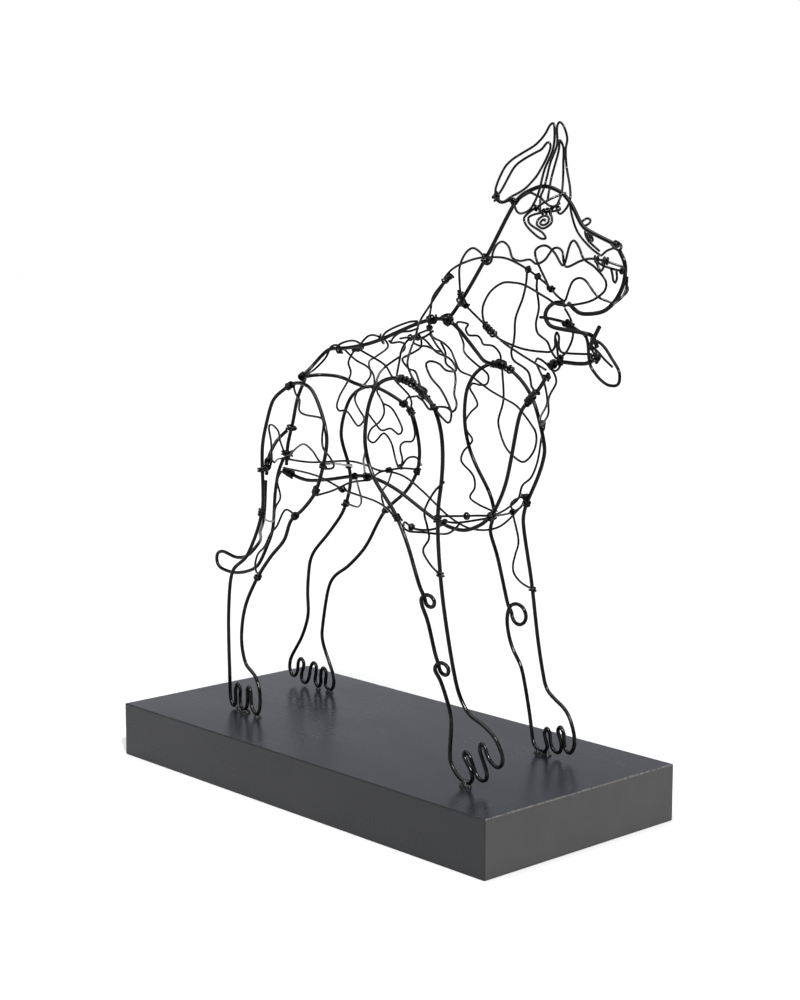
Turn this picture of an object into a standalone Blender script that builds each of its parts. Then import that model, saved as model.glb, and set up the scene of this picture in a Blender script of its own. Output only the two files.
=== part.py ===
# Standing dog drawn in black wire, on a rectangular block plinth
# Every wire is one object: a round tube that follows a route through the air.
import math

import bmesh
import bpy
import numpy as np

# Driving sizes in metres
PLINTH_LENGTH = 0.340
PLINTH_WIDTH = 0.159
PLINTH_HEIGHT = 0.035
PLINTH_EDGE = 0.0007
FIGURE_HEIGHT = 0.374
FRAME_WIRE = 0.0024
FILL_WIRE = 0.0014
TONGUE_WIRE = 0.0018
CLEARANCE = 0.0003

# Shapes that are bent to a rule, in millimetres of the drawing
EYE_RADIUS = 4.7
EYE_TURNS = 2.25
EYE_YAW = 25
EYE_LEAN = 30
PUPIL_SHARE = 0.2
LEG_CURL = (4.8, 3.6)
SHIN_CURL = (7.0, 6.5)
CURL_STEP = 3.2
CURL_POINTS = 8

# The routes are drawn for a dog this tall, standing on ground at this height
DRAWN_HEIGHT = 374
DRAWN_GROUND = 34
SCALE = FIGURE_HEIGHT / DRAWN_HEIGHT

# How closely the straight pieces of a tube follow its smooth route, in metres
FRAME_FIT = 0.0005
FILL_FIT = 0.0007
SMOOTH_STEP = 0.0010

# How wires that would run through each other are eased apart
SETTLE_ROUNDS = 260
SETTLE_SHARE = 0.45
SETTLE_MARGIN = 1.01
LOOK_AROUND = 0.006
SAME_BEND = 8
NO_GAP = 0.0002

FRAME_SIDES = 1
FILL_SIDES = 0
LACQUER_COLOUR = (0.012, 0.012, 0.013, 1)
PLINTH_COLOUR = (0.030, 0.034, 0.042, 1)


def curl(left, z, radii, y):
    """One full turn of the wire, in the leg's own plane, that starts and ends at its left side."""
    wide, high = radii
    turn = []
    for i in range(CURL_POINTS + 1):
        angle = math.pi + 2 * math.pi * i / CURL_POINTS
        side = y + CURL_STEP * (0.5 - i / CURL_POINTS)
        turn.append((left + wide + wide * math.cos(angle), side, z + high * math.sin(angle)))
    return turn


def eye_spiral(centre, begin):
    """A flat coil that winds in to the pupil, turned and leaned as the face is on its side."""
    x, y, z = centre
    inward = 1 if y < 0 else -1
    yaw, lean = math.radians(EYE_YAW), math.radians(EYE_LEAN)
    steps = round(EYE_TURNS * CURL_POINTS)
    coil = []
    for i in range(steps + 1):
        angle = math.radians(begin) - 2 * math.pi * EYE_TURNS * i / steps
        radius = EYE_RADIUS * (1 - (1 - PUPIL_SHARE) * i / steps)
        ahead, up = radius * math.cos(angle), radius * math.sin(angle)
        side = y + inward * (ahead * math.sin(yaw) + up * math.sin(lean))
        coil.append((x + ahead * math.cos(yaw), side, z + up * math.cos(lean)))
    return coil


# Routes of the wires in millimetres: x to the dog's head, y to its left, z up.
# The legs are closed loops of the thicker wire.
LOOPS = {
    "right_hind_leg": [
        (-53, -25, 253), (-38, -27, 251), (-27, -30, 243), (-17, -33, 230), (-14, -34, 220),
        (-18, -35, 201), (-24, -35, 188), (-36, -35, 176), (-49, -34, 167), (-56, -34, 154),
        (-70, -34, 141), (-85, -34, 124), (-97, -34, 104), (-101, -34, 86), (-99, -35, 75.5),
        (-96, -34.5, 66.5), (-87, -34, 59.5), (-83, -34.5, 53), (-81, -35, 49), (-80, -36, 43),
        (-80, -37, 38), (-83, -37, 36), (-87.5, -36.5, 39), (-89.5, -36, 45), (-90.5, -35.5, 50),
        (-92.5, -35.5, 52), (-94, -35.5, 50), (-93.5, -35.5, 43), (-95, -35.5, 37.5), (-98.5, -35, 36),
        (-102.5, -34.5, 38), (-103.5, -34, 43), (-103.5, -34, 49), (-106, -34, 51.5), (-108, -34, 48.5),
        (-108, -34, 42), (-108.5, -34, 37.5), (-110.5, -34, 36), (-113, -34, 38.5), (-114, -34, 45),
        (-113, -35, 54.5), (-113, -35, 76), (-113, -35, 103), (-108, -35, 127), (-94, -35, 138),
        (-88, -34, 148), (-78, -34, 170), (-77, -34, 190), (-78.5, -33, 210), (-76, -31, 227),
        (-73, -28, 241), (-63, -26, 249),
    ],
    "left_hind_leg": [
        (-47, 35, 247), (-61, 36, 245), (-72, 37, 239), (-80, 38, 228), (-85, 39, 212), (-79, 40, 193),
        (-77, 40, 182), (-84, 40, 162), (-99, 40, 145), (-118, 40, 125), (-122, 40, 102),
        (-122, 40, 84), (-130, 40, 66), (-137, 40, 57), (-141.5, 40, 49), (-142, 40, 43),
        (-140, 40, 39.5), (-137, 40, 39), (-134.5, 40, 41.5), (-133, 40, 46), (-132.5, 40, 50),
        (-129.5, 40, 52.5), (-127, 40, 50), (-127.5, 40, 45.5), (-129.5, 40, 40.5), (-128.5, 40, 37),
        (-125, 40, 36), (-122, 40, 39.5), (-120, 40, 44), (-119, 40, 49), (-116, 40, 52),
        (-113.5, 40, 50), (-114, 40, 44), (-114.5, 40, 38.5), (-111.5, 40, 36), (-109, 40, 38.5),
        (-108.5, 40, 44), (-108, 40, 48), (-105.5, 40, 50), (-103, 40, 48), (-103.5, 40, 43),
        (-103.5, 40, 38), (-100, 40, 36), (-96.5, 40, 37.5), (-95, 40, 41.5), (-95.5, 40, 46),
        (-99, 40, 54.5), (-104, 40, 63), (-107, 40, 71), (-105, 40, 86), (-97, 40, 112), (-79, 40, 125),
        (-63, 40, 139), (-43, 40, 166), (-36, 40, 171), (-23, 40, 181), (-13, 40, 194), (-10, 40, 206),
        (-12, 40, 219), (-18, 40, 233), (-29, 39, 240),
    ],
    "right_front_leg": [
        (43, -45, 258), (37, -45, 247), (34, -45, 233), (34, -45, 223), (37, -45, 213), (43, -45, 203),
        (53, -45, 193), (63, -45, 182), (71, -45, 168), (78, -45, 152), (82, -45, 144),
        *curl(84, 138, LEG_CURL, -45),
        (87, -45, 128), (92, -45, 115), (95, -45, 106),
        *curl(96, 100, LEG_CURL, -45),
        (99, -45, 93), (103, -45, 83), (107.5, -45, 73.5), (107.5, -45, 61), (107, -45, 49),
        (109, -45, 43.5), (115, -44.5, 38), (119, -44, 36), (122.5, -44, 37), (124.5, -44, 40),
        (124, -44, 43.5), (120.5, -44, 48), (117.5, -44, 52), (118.5, -44, 54.5), (121, -44, 53.5),
        (123.5, -44, 49), (127, -43.5, 42), (131, -43, 40), (134.5, -43, 41.5), (135, -43, 45),
        (132.5, -43, 51.5), (129.5, -43, 57), (129.5, -43, 60.5), (131.5, -43, 61.5), (134, -43, 58.5),
        (137.5, -43, 53), (142, -42, 50), (145.5, -42, 52), (146.5, -42, 55.5), (145, -42, 60),
        (140.5, -43, 67.5), (131.5, -43.5, 73), (122, -44, 77), (117, -45, 83), (112, -45, 93),
        (107, -45, 111), (103, -45, 128), (99, -45, 149), (98, -45, 163), (96, -45, 181),
        (97, -45, 198), (99, -45, 209), (100, -45, 224), (98, -45, 239), (92, -45, 251), (84, -45, 258),
        (74, -45, 263), (63, -45, 265), (51, -45, 263),
    ],
    "left_front_leg": [
        (56, 41, 176), (53, 41, 165), (59, 41, 150), (65, 41, 132), (69, 41, 120),
        *curl(70, 116, SHIN_CURL, 41),
        (69, 41, 104), (74, 41, 92), (80, 41, 84), (85.5, 40, 70), (90, 38.5, 57.5), (93, 38, 45),
        (96, 37, 38.5), (100, 37, 36), (104, 37, 36), (106.5, 37, 38.5), (106, 37, 43), (104.5, 37, 48),
        (105.5, 37.5, 50.5), (107.5, 38, 48), (109, 38, 41), (112, 38.5, 37), (115, 39, 37.5),
        (116.5, 39, 41), (115.5, 39, 46), (113.5, 39, 51), (115.5, 39, 53), (118, 39, 50),
        (118.5, 39, 45), (120, 39, 40), (123, 39, 38.5), (126, 39, 41.5), (127, 39, 47),
        (125.5, 39.5, 52.5), (121, 40, 61), (115.5, 40, 66), (107.5, 41, 69.5), (102, 41, 74),
        (97, 41, 90), (92, 41, 115), (88, 41, 139), (83, 41, 162), (81, 41, 176), (85, 41, 189),
        (93, 41, 203), (98, 41, 219), (95, 41, 232), (90, 41, 245), (83, 41, 255), (73, 41, 263),
        (61, 41, 268), (50, 41, 267), (39, 41, 261), (32, 41, 251), (30, 41, 241), (31, 41, 225),
        (36, 41, 211), (43, 41, 200), (52, 41, 188),
    ],
}

FRAME = {
    "back": [
        (-53, -22, 256), (-54, -14, 261), (-48, -4, 272.5), (-38, -4, 274), (-27, -4, 275.5),
        (-11, -4, 278.5), (4, -4, 282.5), (19, -4, 288), (37, -4, 294), (54, -4, 297), (65, -4, 295),
        (65, 8, 285), (62, 20, 276), (59, 30, 270), (62, 37, 268),
    ],
    "neck": [
        (55, 0, 294), (65, 0, 304), (77, 0, 319), (89, 0, 334), (100, 0, 349), (110, 0, 363),
        (115, 0, 368), (127, 0, 373), (136, 0, 374), (148, 0, 370), (154, 0, 365), (164, 0, 352),
        (176, 0, 347), (189, 0, 342),
    ],
    "belly_and_chest": [
        (-97, 0, 191), (-76, 0, 187), (-56, 0, 189), (-37, 0, 193), (-17, 0, 195), (-3, 0, 194),
        (15, 0, 189), (33, 0, 181), (49, 0, 175), (64, 0, 172), (76, 0, 173), (90, 0, 180),
        (97, 0, 187), (106, 0, 204), (113, 0, 230), (118, 0, 247), (131, 0, 260), (139, 0, 270),
    ],
    "tail": [
        (-100.5, 2.5, 199), (-101.5, 1.5, 195.5), (-102, 0, 192), (-106, 0, 179), (-108, 0, 167),
        (-110, 0, 150), (-120, 0, 132), (-127, 0, 123), (-141, 0, 117), (-157, 0, 115), (-170, 0, 118),
        (-171, 0, 125), (-165, 0, 128), (-149, 0, 126), (-137, 0, 129), (-124, 0, 140),
        (-108, -12, 150), (-88, -25, 162.5), (-82, -28.5, 174.5), (-78, -31, 189),
    ],
    "rump": [(-75, 0, 253), (-83, 0, 239), (-90, 0, 220), (-94, 0, 207), (-94.5, 0, 200.5), (-95, 0, 194.5)],
    "rump_stay": [
        (-91, -1.5, 218), (-93, -5, 215), (-94, -9, 211), (-92, -14, 207), (-89, -19, 203),
        (-84, -24, 200), (-80, -28, 197), (-77, -31, 193.5),
    ],
    "hip_bar": [(-74, -3, 254), (-70, 8, 255), (-60, 16, 254), (-54, 26, 249), (-49, 32, 247)],
    "muzzle": [
        (190, 0, 340), (194, 0, 333), (194, 0, 324), (193, -4, 315), (189, -9, 308), (183, -13, 306),
        (176, -15, 306), (168, -17, 311),
    ],
    "lower_jaw": [
        (167, -17, 310), (163, -17, 311.5), (158.5, -16.5, 311), (154, -15.5, 309), (151, -15, 306.5),
        (149, -14, 302.5), (151, -14, 299.5), (155, -14, 297.5), (159.5, -13, 297), (164.5, -12, 296.5),
        (169, -11, 295.5), (173, -9.5, 295), (176, -7.5, 293.5), (177.5, -6, 291), (178.5, -4, 286.5),
    ],
    "chin": [
        (142, -2, 275), (149, -2, 277), (159, -2, 277), (171, -3, 278), (178, -4, 282), (176, -5, 287),
        (179, -6, 292), (184, -8, 299),
    ],
}

TONGUE = {
    "tongue": [
        (148, -16, 302.5), (147.5, -11.5, 302), (151, -10, 301.5), (156.5, -10, 300.5),
        (162, -9.5, 299.5), (166.5, -8.5, 297), (169.5, -7, 294.5), (172.5, -6, 292.5), (174, -5, 285),
        (176, -5, 276), (182, -5, 270), (189, -5, 267), (195, -5, 268), (195.5, -4, 273),
        (192.5, -4, 278), (188, -3.5, 282.5), (182, -3, 286.5), (176, -2.5, 290), (172.5, -2.5, 291.5),
    ],
}

# Fill wires
HEAD = {
    "right_ear": [
        (115, -17, 366.5), (116.5, -15, 365.5), (117, -12, 367.5), (118, -8, 369), (125.5, -8, 372),
        (132.5, -10, 375.5), (138, -11, 379), (141, -11, 382.5), (144.5, -9, 390), (146, -8, 396),
        (145, -8.5, 398), (142, -11, 394), (139.5, -12.5, 392.5), (131, -15, 388), (126, -17, 383.5),
        (120.5, -18, 375.5), (116, -18.5, 369.5), (114.5, -19, 370), (117, -19.5, 376),
        (121, -19, 383.5), (124.5, -17, 388), (131, -15, 392), (137, -11.5, 396), (142, -8.5, 402),
        (144, -6, 407.5), (145, -5.5, 408.5), (146, -5.5, 407.5), (147.5, -6.5, 400.5),
        (148, -8.5, 393), (146, -11.5, 385), (145.5, -15, 376.5), (145.5, -17, 369.5),
        (142.5, -17.5, 363.5), (140, -17, 361), (135, -15, 359.5), (129.5, -13, 359),
        (123.5, -10.5, 360), (119.5, -8.5, 363), (116, -6, 366),
    ],
    "left_ear": [
        (141.5, -11, 361), (138, -7, 365), (133.5, -2, 369), (130, 4, 373), (129, 7, 378),
        (131, 7.5, 386), (134, 7, 391), (137, 6, 394.5), (139, 5, 399), (139, 4.5, 406),
        (140, 4.5, 408.8), (142, 4.5, 409), (144.5, 5.5, 404.5), (145.5, 6, 399.5), (143.5, 7, 395),
        (143.5, 7.5, 386.5), (145.5, 7, 381), (150, 4, 372), (151.5, 2.5, 368.5), (150, 1, 362),
        (148, -2, 359), (146.5, -3, 361), (145.5, 0, 365), (144, 3, 368), (142, 6, 372), (139, 10, 380),
        (138.5, 10.5, 388.5), (139, 10, 394), (138.5, 9.5, 398), (137, 9, 399.5), (136.5, 9, 394.5),
        (135, 9.5, 390.5), (131.5, 9, 380.5), (133, 6, 375), (135.5, 2, 371), (139.5, -3, 366.5),
    ],
    "right_brow": [
        (151.5, -1, 370.5), (147.5, -8, 367.5), (142, -15, 363), (138, -17, 360), (136, -18, 356.5),
        (138, -18, 352.5), (147.5, -19, 347), (151, -19, 345.5), (153.5, -19, 346), (153, -19, 348),
        (145, -18.5, 352), (140, -18, 354.5), (139.5, -18, 357), (143, -16, 359), (148, -9, 360.5),
        (150, -4, 361.5), (148.5, -5, 363.5), (149, -9, 361.5),
        *eye_spiral((149, -16, 355), 60),
    ],
    "left_brow": [
        (150.5, 3, 367), (148.5, 6, 363.5), (146.5, 9, 359.5), (146, 11, 355), (148, 13, 348.5),
        (151.5, 13, 345.5), (156, 12.5, 342.5), (162, 11, 340), (168, 9, 337), (170.5, 7.5, 336.5),
        (174.5, 6, 338.5), (179.5, 4.5, 340), (188.5, 2, 342),
    ],
    "left_eye": [
        (167, 9.5, 338.5), (161, 11.5, 340.5), (157, 13, 343),
        *eye_spiral((156.5, 13, 346.5), 270),
    ],
    "cheek_line": [
        (56, -2, 320), (61, -2, 325), (72, -3, 329), (84, -4, 333), (94, -5, 334), (112, -8, 334),
        (133, -13, 329), (144, -15, 324), (153, -16, 320), (161, -17, 313), (168, -18, 311),
    ],
    "face_wave": [
        (72, -4, 310), (71, -4, 318), (72, -4, 329), (77, -4, 337), (83, -4, 339), (89, -4, 335),
        (92, -4, 330), (96, -4, 331), (99, -5, 337), (104, -6, 342), (111, -8, 343), (117, -10, 340),
        (121, -12, 335), (129, -14, 333), (139, -16, 334), (147, -18, 332), (152, -18, 334),
        (157, -18, 339), (161, -18, 341), (165, -18, 339), (167, -18, 331), (174, -17, 333),
        (179, -16, 335), (186, -12, 335), (191, -7, 333), (196, -3, 331),
    ],
    "face_loop": [
        (154, -17, 320), (148, -17, 329), (143, -17, 337), (144, -16, 340), (150, -16, 342),
        (157, -17, 339), (166, -18, 332), (167, -16, 339), (170, -15, 345), (174, -15, 342),
        (178, -16, 335), (185, -14, 331), (192, -12, 322), (191, -13, 318), (184, -15, 313),
        (174, -17, 311), (164, -18, 311), (147, -18, 316), (137, -18, 320), (125, -17, 321),
        (117, -17, 320), (106, -16, 313), (100, -14, 304), (100, -12, 297), (103, -11, 295),
    ],
    "lip_wave": [
        (167, -17, 312), (169, -17, 318), (172, -17, 323), (178, -16, 325), (184, -14, 318),
        (188, -12, 314), (192, -8, 312),
    ],
    "throat_line": [
        (73, -3, 307), (87, -7, 301), (101, -11, 295), (109, -12, 290), (120, -13, 286),
        (132, -14, 284), (149, -14, 283.5), (153.5, -13.5, 284), (156, -13.5, 286), (156, -13.5, 290),
        (156, -13, 293), (156, -12, 294.5), (156.5, -11, 293), (156.5, -10.5, 289.5), (156, -10, 286),
        (157, -9, 283.5), (159.5, -7.5, 283), (168, -5, 283), (174, -3, 283),
    ],
    "cheek_stay": [
        (136, -15, 329), (136, -16, 320), (134, -17, 311), (129, -16, 303), (127, -16, 296),
        (127, -15, 289), (123, -13, 283), (120, -9, 277), (125, -6, 273), (127, -3, 269),
        (128, -2, 261),
    ],
    "jaw_stay": [
        (145, -16, 326), (145, -17, 319), (147, -17, 307), (144, -16, 297), (146, -15, 292),
        (150, -13, 289), (151, -11, 284), (149, -4, 279),
    ],
    "jaw_link": [
        (165.5, -16, 308.5), (165.5, -14, 306), (164, -10.5, 303), (162, -6.5, 300), (162, -5.5, 296),
        (162, -5.5, 291.5), (159.5, -5, 287), (157.5, -5, 284), (153, -4, 281), (149.5, -3, 279),
    ],
}

CHEST = {
    "breast_wire": [
        (128, 2, 274), (124, 12, 264), (120, 20, 252), (106, 30, 243), (97, 38, 236), (94, 43, 230),
        (94, 41, 220), (95, 38, 212), (89, 38, 201), (84, 36, 196), (84, 34, 190), (73, 36, 182),
        (60, 39, 176),
    ],
    "breast_stay": [
        (127, 2, 276), (131, 0, 278), (134, 6, 273), (132, 14, 265), (125, 18, 258), (118, 22, 252),
        (113, 28, 244), (97, 39, 234),
    ],
    "brisket_bar": [(84, 41, 187), (83, 36, 183), (83, 30, 181), (89, 15, 182), (94, 3, 183)],
    "shoulder_stay": [
        (60, -2, 323), (54, -5, 314), (50, -7, 306), (43, -9, 296), (52, -22, 286), (58, -32, 278),
        (63, -38, 273), (71, -43, 268), (80, -46, 262),
    ],
    "shoulder_link": [(44, -4, 290), (39, -12, 286), (44, -24, 281), (54, -36, 274), (63, -46, 266)],
    "shoulder_sweep": [
        (60, -1, 323), (52, -2, 316), (46, -2, 309), (45, -2, 303), (48, -4, 296), (42, 0, 288),
        (40, 6, 284), (39, 14, 281), (37, 22, 276), (32, 30, 270), (29, 38, 262), (33, 43, 259),
        (40, 44, 255), (64, 38, 249), (84, 30, 246), (101, 25, 237), (107, 24, 231), (106, 24, 222),
        (95, 26, 213), (85, 28, 216), (77, 30, 219), (69, 33, 227), (66, 34, 235), (66, 37, 243),
        (65, 39, 256), (63, 40, 265),
    ],
    "shoulder_brace": [
        (40, -6, 285), (46, -12, 280), (47, -20, 277), (47, -26, 275), (50, -30, 274), (63, -37, 270),
        (73, -41, 269), (82, -46, 262),
    ],
    "shoulder_zigzag": [
        (35, -5, 285), (47, -10, 285), (59, -16, 282), (71, -22, 279), (85, -28, 278), (95, -32, 275),
        (99, -34, 271), (96, -38, 271), (91, -40, 275), (86, -42, 276), (83, -42, 274), (86, -42, 268),
        (96, -43, 261), (102, -44, 255), (107, -45, 248), (106, -46, 243), (97, -46, 248),
        (95, -46, 251),
    ],
    "shoulder_stitch": [
        (66, -14, 284), (76, -20, 279), (82, -26, 275), (89, -30, 272), (97, -33, 270), (101, -36, 263),
        (102, -38, 258), (107, -41, 253), (107, -43, 249), (102, -44, 251), (96, -46, 251),
    ],
    "left_shoulder_fringe": [
        (65, 37, 270), (67, 34, 275), (66, 29, 280), (63, 24, 281), (65, 20, 284), (65, 16, 287),
        (63, 12, 287), (64, 8, 291), (67, 7, 294), (62, 3, 295), (59, 8, 289), (56, 14, 282),
        (47, 24, 275), (46, 34, 268), (51, 40, 261), (46, 43, 255), (33, 44, 254), (32, 43, 251),
        (39, 41, 246), (42, 40, 242), (35, 40, 237), (27, 43, 231), (29, 44, 224), (34, 41, 219),
        (29, 40, 211), (28, 40, 206), (38, 41, 197), (39, 41, 190), (36, 40, 184), (41, 40, 181),
        (54, 40, 178),
    ],
    "brisket_brace": [(95, -43, 188), (95, -34, 187), (96, -22, 186), (96, -11, 185), (98, -3, 184)],
    "brisket_sling": [
        (97, -3, 183), (95, -12, 183), (92, -27, 182), (91, -36, 183), (90, -40, 180), (74, -44, 178),
        (65, -44, 180), (69, -46, 178), (85, -40, 177), (91, -34, 176), (93, -28, 179), (95, -25, 183),
    ],
    "right_forearm_wire": [
        (103, -46, 209), (97, -46, 204), (91, -46, 197), (86, -46, 190), (88, -46, 183), (90, -46, 175),
        (85, -46, 167), (91, -46, 160), (99, -46, 156),
    ],
    "left_forearm_wire": [
        (83, 30, 180), (82, 33, 170), (81, 37, 161), (74, 40, 149), (73, 41, 142), (78, 41, 137),
        (88, 41, 134),
    ],
}

BODY = {
    "back_binding": [
        (-49.5, -22, 257.5), (-48, -17, 260), (-45, -13, 265), (-43, -9.5, 269), (-42, -8, 273),
        (-41.5, -6.5, 275.5), (-40, -4.5, 276.5), (-39.5, -1.5, 275.5), (-38, -1.5, 273.5),
        (-37.5, -4, 272), (-36, -7, 273.5), (-34, -7.5, 276.5), (-30.5, -6.5, 278.5), (-28, -5, 279.5),
        (-24.5, -4, 280), (-22, -2, 279.5), (-19.5, -0.8, 278), (-16.5, -1.8, 276), (-15, -4.5, 275.5),
        (-13, -7, 278), (-10.5, -7.5, 280.5), (-7.5, -7, 283), (-5.5, -5.5, 284.5), (-2.5, -4.5, 284.5),
        (-1, -2.5, 283.5), (0.5, -1, 282), (3.5, -2.8, 280.5), (6, -6.5, 282.5), (8, -7, 285.5),
        (12.5, -6.5, 288), (17.5, -6, 289.5), (22.5, -6, 291.5), (26.5, -6, 293), (29, -5.5, 294),
        (32, -5, 294.5), (36.5, -5, 294.5),
    ],
    "loin_stay": [(-37, 0, 274), (-36, 10, 266), (-36, 20, 261), (-40, 28, 255), (-45, 33, 249)],
    "loin_loop": [
        (0, 0, 283), (0, 4, 278), (-21, 12, 269), (-36, 20, 264), (-43, 28, 256), (-53, 32, 249),
        (-60, 32, 244), (-62, 31, 239), (-56, 28, 234), (-44, 23, 227), (-46, 20, 223), (-52, 20, 228),
        (-59, 20, 232), (-64, 18, 232), (-62, 16, 237), (-45, 9, 252), (-36, 5, 260), (-35, 2, 265),
        (-26, 0, 275),
    ],
    "loin_hook": [
        (-24, 0, 275), (-20, 8, 270), (-16, 16, 264), (-18, 24, 256), (-17, 31, 249), (-16, 37, 243),
        (-17, 40, 238),
    ],
    "right_belly_line": [
        (-98, 0, 193), (-72, -6, 193), (-47, -12, 193), (-32, -15, 191), (-21, -16, 189),
        (-2, -22, 188), (24, -30, 188), (47, -39, 186), (59, -44, 183),
    ],
    "left_belly_line": [
        (-84, -19, 199), (-94, -9, 199), (-103, 1, 198), (-104.5, 5.5, 197.5), (-100.5, 6, 197.5),
        (-86, 8, 197), (-66, 13, 198), (-55, 16, 200), (-41, 19, 199), (-27, 21, 196), (-18, 22, 196),
        (-9, 25, 194), (1, 28, 188), (11, 31, 180), (19, 34, 173), (28, 36, 168), (39, 37, 165),
        (55, 38, 166), (65, 39, 170), (74, 39, 177), (83, 40, 185),
    ],
    "belly_cross": [
        (-23, -36, 186), (-21, -22, 188), (-20, -17, 190), (-19, -9, 192), (-15, -2, 194),
        (-15, 10, 197), (-14, 19, 198), (-14, 29, 198), (-12, 39, 197),
    ],
    "thigh_stay": [(-14, 19, 195), (-25, 26, 187), (-37, 32, 180), (-42, 37, 173), (-41, 39, 168)],
    "belly_loop": [
        (-78, 38, 167), (-63, 33, 167), (-53, 28, 171), (-47, 23, 176), (-42, 17, 182), (-34, 8, 189),
        (-28, 2, 193),
    ],
    "elbow_link": [(33, -44, 220), (21, -35, 212), (3, -18, 203), (-14, -3, 197)],
    "rump_loop": [
        (-95, -2, 204), (-91, -8, 211), (-82, -18, 221), (-78, -27, 225), (-75.5, -31.5, 224),
        (-75, -31, 220.5), (-75, -29, 216), (-76, -27.5, 210.5), (-77, -27, 205.5), (-77.5, -26, 201),
    ],
    "right_thigh_zigzag": [
        (-58, -25, 251), (-53, -26, 246), (-47, -28, 243), (-45, -30, 237), (-40, -31, 235),
        (-25, -34, 235), (-16, -35, 233), (-16, -36, 221), (-13, -37, 215), (-7, -37, 211),
        (-4, -37, 206), (-11, -37, 204),
    ],
    "haunch_arch": [
        (-88, -3, 202), (-73, -9, 209), (-59, -15, 213), (-44, -22, 212), (-26, -31, 209),
        (-18, -35, 207), (-28, -18, 204), (-53, 12, 198), (-72, 37, 193),
    ],
    "tail_stay": [
        (-97, -2, 191), (-102, -2, 184), (-101, -2, 178), (-99, -2, 173), (-104, -2, 166),
        (-99, -8, 159), (-85, -25, 162), (-78, -34, 166),
    ],
    "right_hock_wire": [
        (-46, -34, 169), (-50, -34, 173), (-55, -34, 173), (-60, -34, 166), (-65, -34, 160),
        (-72, -34, 154), (-76, -34, 147), (-83, -34, 141), (-86, -34, 133), (-84, -34, 128),
    ],
    "left_thigh_leaf": [
        (-45, 35, 244), (-41, 36, 238), (-40, 37, 232), (-46, 38, 225), (-56, 39, 218), (-58, 39, 212),
        (-53, 39, 210), (-43, 39, 217), (-36, 39, 212), (-32, 39, 202), (-27, 38, 196), (-24, 38, 200),
        (-26, 38, 210), (-23, 38, 213), (-14, 38, 215), (-12, 38, 220), (-15, 38, 228), (-17, 38, 234),
    ],
    "left_thigh_curl": [
        (-57, 37, 230), (-50, 38, 224), (-42, 37, 219), (-34, 37, 221), (-26, 37, 218), (-23, 37, 221),
        (-28, 37, 229), (-33, 36, 235), (-39, 35, 237),
    ],
}


class Wire:
    """One bent wire: its name, thickness, route in metres and how firmly it holds its place."""

    def __init__(self, name, gauge, route, closed, firmness):
        self.name = name
        self.gauge = gauge
        self.closed = closed
        self.firmness = firmness
        fit = FILL_FIT if gauge == FILL_WIRE else FRAME_FIT
        self.points = thinned(smoothed(np.array([placed(p) for p in route]), closed), fit, closed)


def placed(point):
    """A point of the drawing, in metres, on the plinth."""
    x, y, z = point
    return (x * SCALE, y * SCALE, PLINTH_HEIGHT + (z - DRAWN_GROUND) * SCALE)


def smoothed(points, closed):
    """A smooth curve through the points, as many short steps."""
    if closed:
        held = np.vstack([points[-1], points, points[:2]])
    else:
        held = np.vstack([2 * points[0] - points[1], points, 2 * points[-1] - points[-2]])
    curve = []
    for before, start, end, after in zip(held, held[1:], held[2:], held[3:]):
        lead, span, trail = (
            math.sqrt(max(float(np.linalg.norm(b - a)), 1e-5))
            for a, b in ((before, start), (start, end), (end, after))
        )
        leave = span * ((start - before) / lead - (end - before) / (lead + span)) + end - start
        arrive = span * ((after - end) / trail - (after - start) / (span + trail)) + end - start
        steps = max(2, round(span * span / SMOOTH_STEP))
        for t in np.linspace(0, 1, steps, endpoint=False):
            curve.append(
                (2 * t**3 - 3 * t**2 + 1) * start
                + (t**3 - 2 * t**2 + t) * leave
                + (3 * t**2 - 2 * t**3) * end
                + (t**3 - t**2) * arrive
            )
    if not closed:
        curve.append(points[-1])
    return np.array(curve)


def thinned(points, fit, closed):
    """The fewest points of the curve whose straight pieces stay this close to it."""
    if closed:
        points = np.vstack([points, points[0]])
    kept = {0, len(points) - 1, len(points) // 2}
    spans = [(0, len(points) // 2), (len(points) // 2, len(points) - 1)]
    while spans:
        first, last = spans.pop()
        if last - first < 2:
            continue
        line = points[last] - points[first]
        offset = points[first : last + 1] - points[first]
        along = np.clip(offset @ line / max(line @ line, 1e-12), 0, 1)
        away = np.linalg.norm(offset - along[:, None] * line, axis=1)
        worst = int(np.argmax(away))
        if away[worst] > fit:
            kept.add(first + worst)
            spans += [(first, first + worst), (first + worst, last)]
    chosen = points[sorted(kept)]
    return chosen[:-1] if closed else chosen


def nearest(p1, q1, p2, q2):
    """How far along each of two straight pieces their nearest points lie."""
    d1, d2, r = q1 - p1, q2 - p2, p1 - p2
    a, e = (d1 * d1).sum(1), (d2 * d2).sum(1)
    b, c, f = (d1 * d2).sum(1), (d1 * r).sum(1), (d2 * r).sum(1)
    across = a * e - b * b
    s = np.where(across > 1e-9 * a * e, (b * f - c * e) / np.maximum(across, 1e-18), 0.5)
    s = np.clip(s, 0, 1)
    t = (b * s + f) / e
    s = np.where(t < 0, np.clip(-c / a, 0, 1), np.where(t > 1, np.clip((b - c) / a, 0, 1), s))
    return s, np.clip(t, 0, 1)


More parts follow.
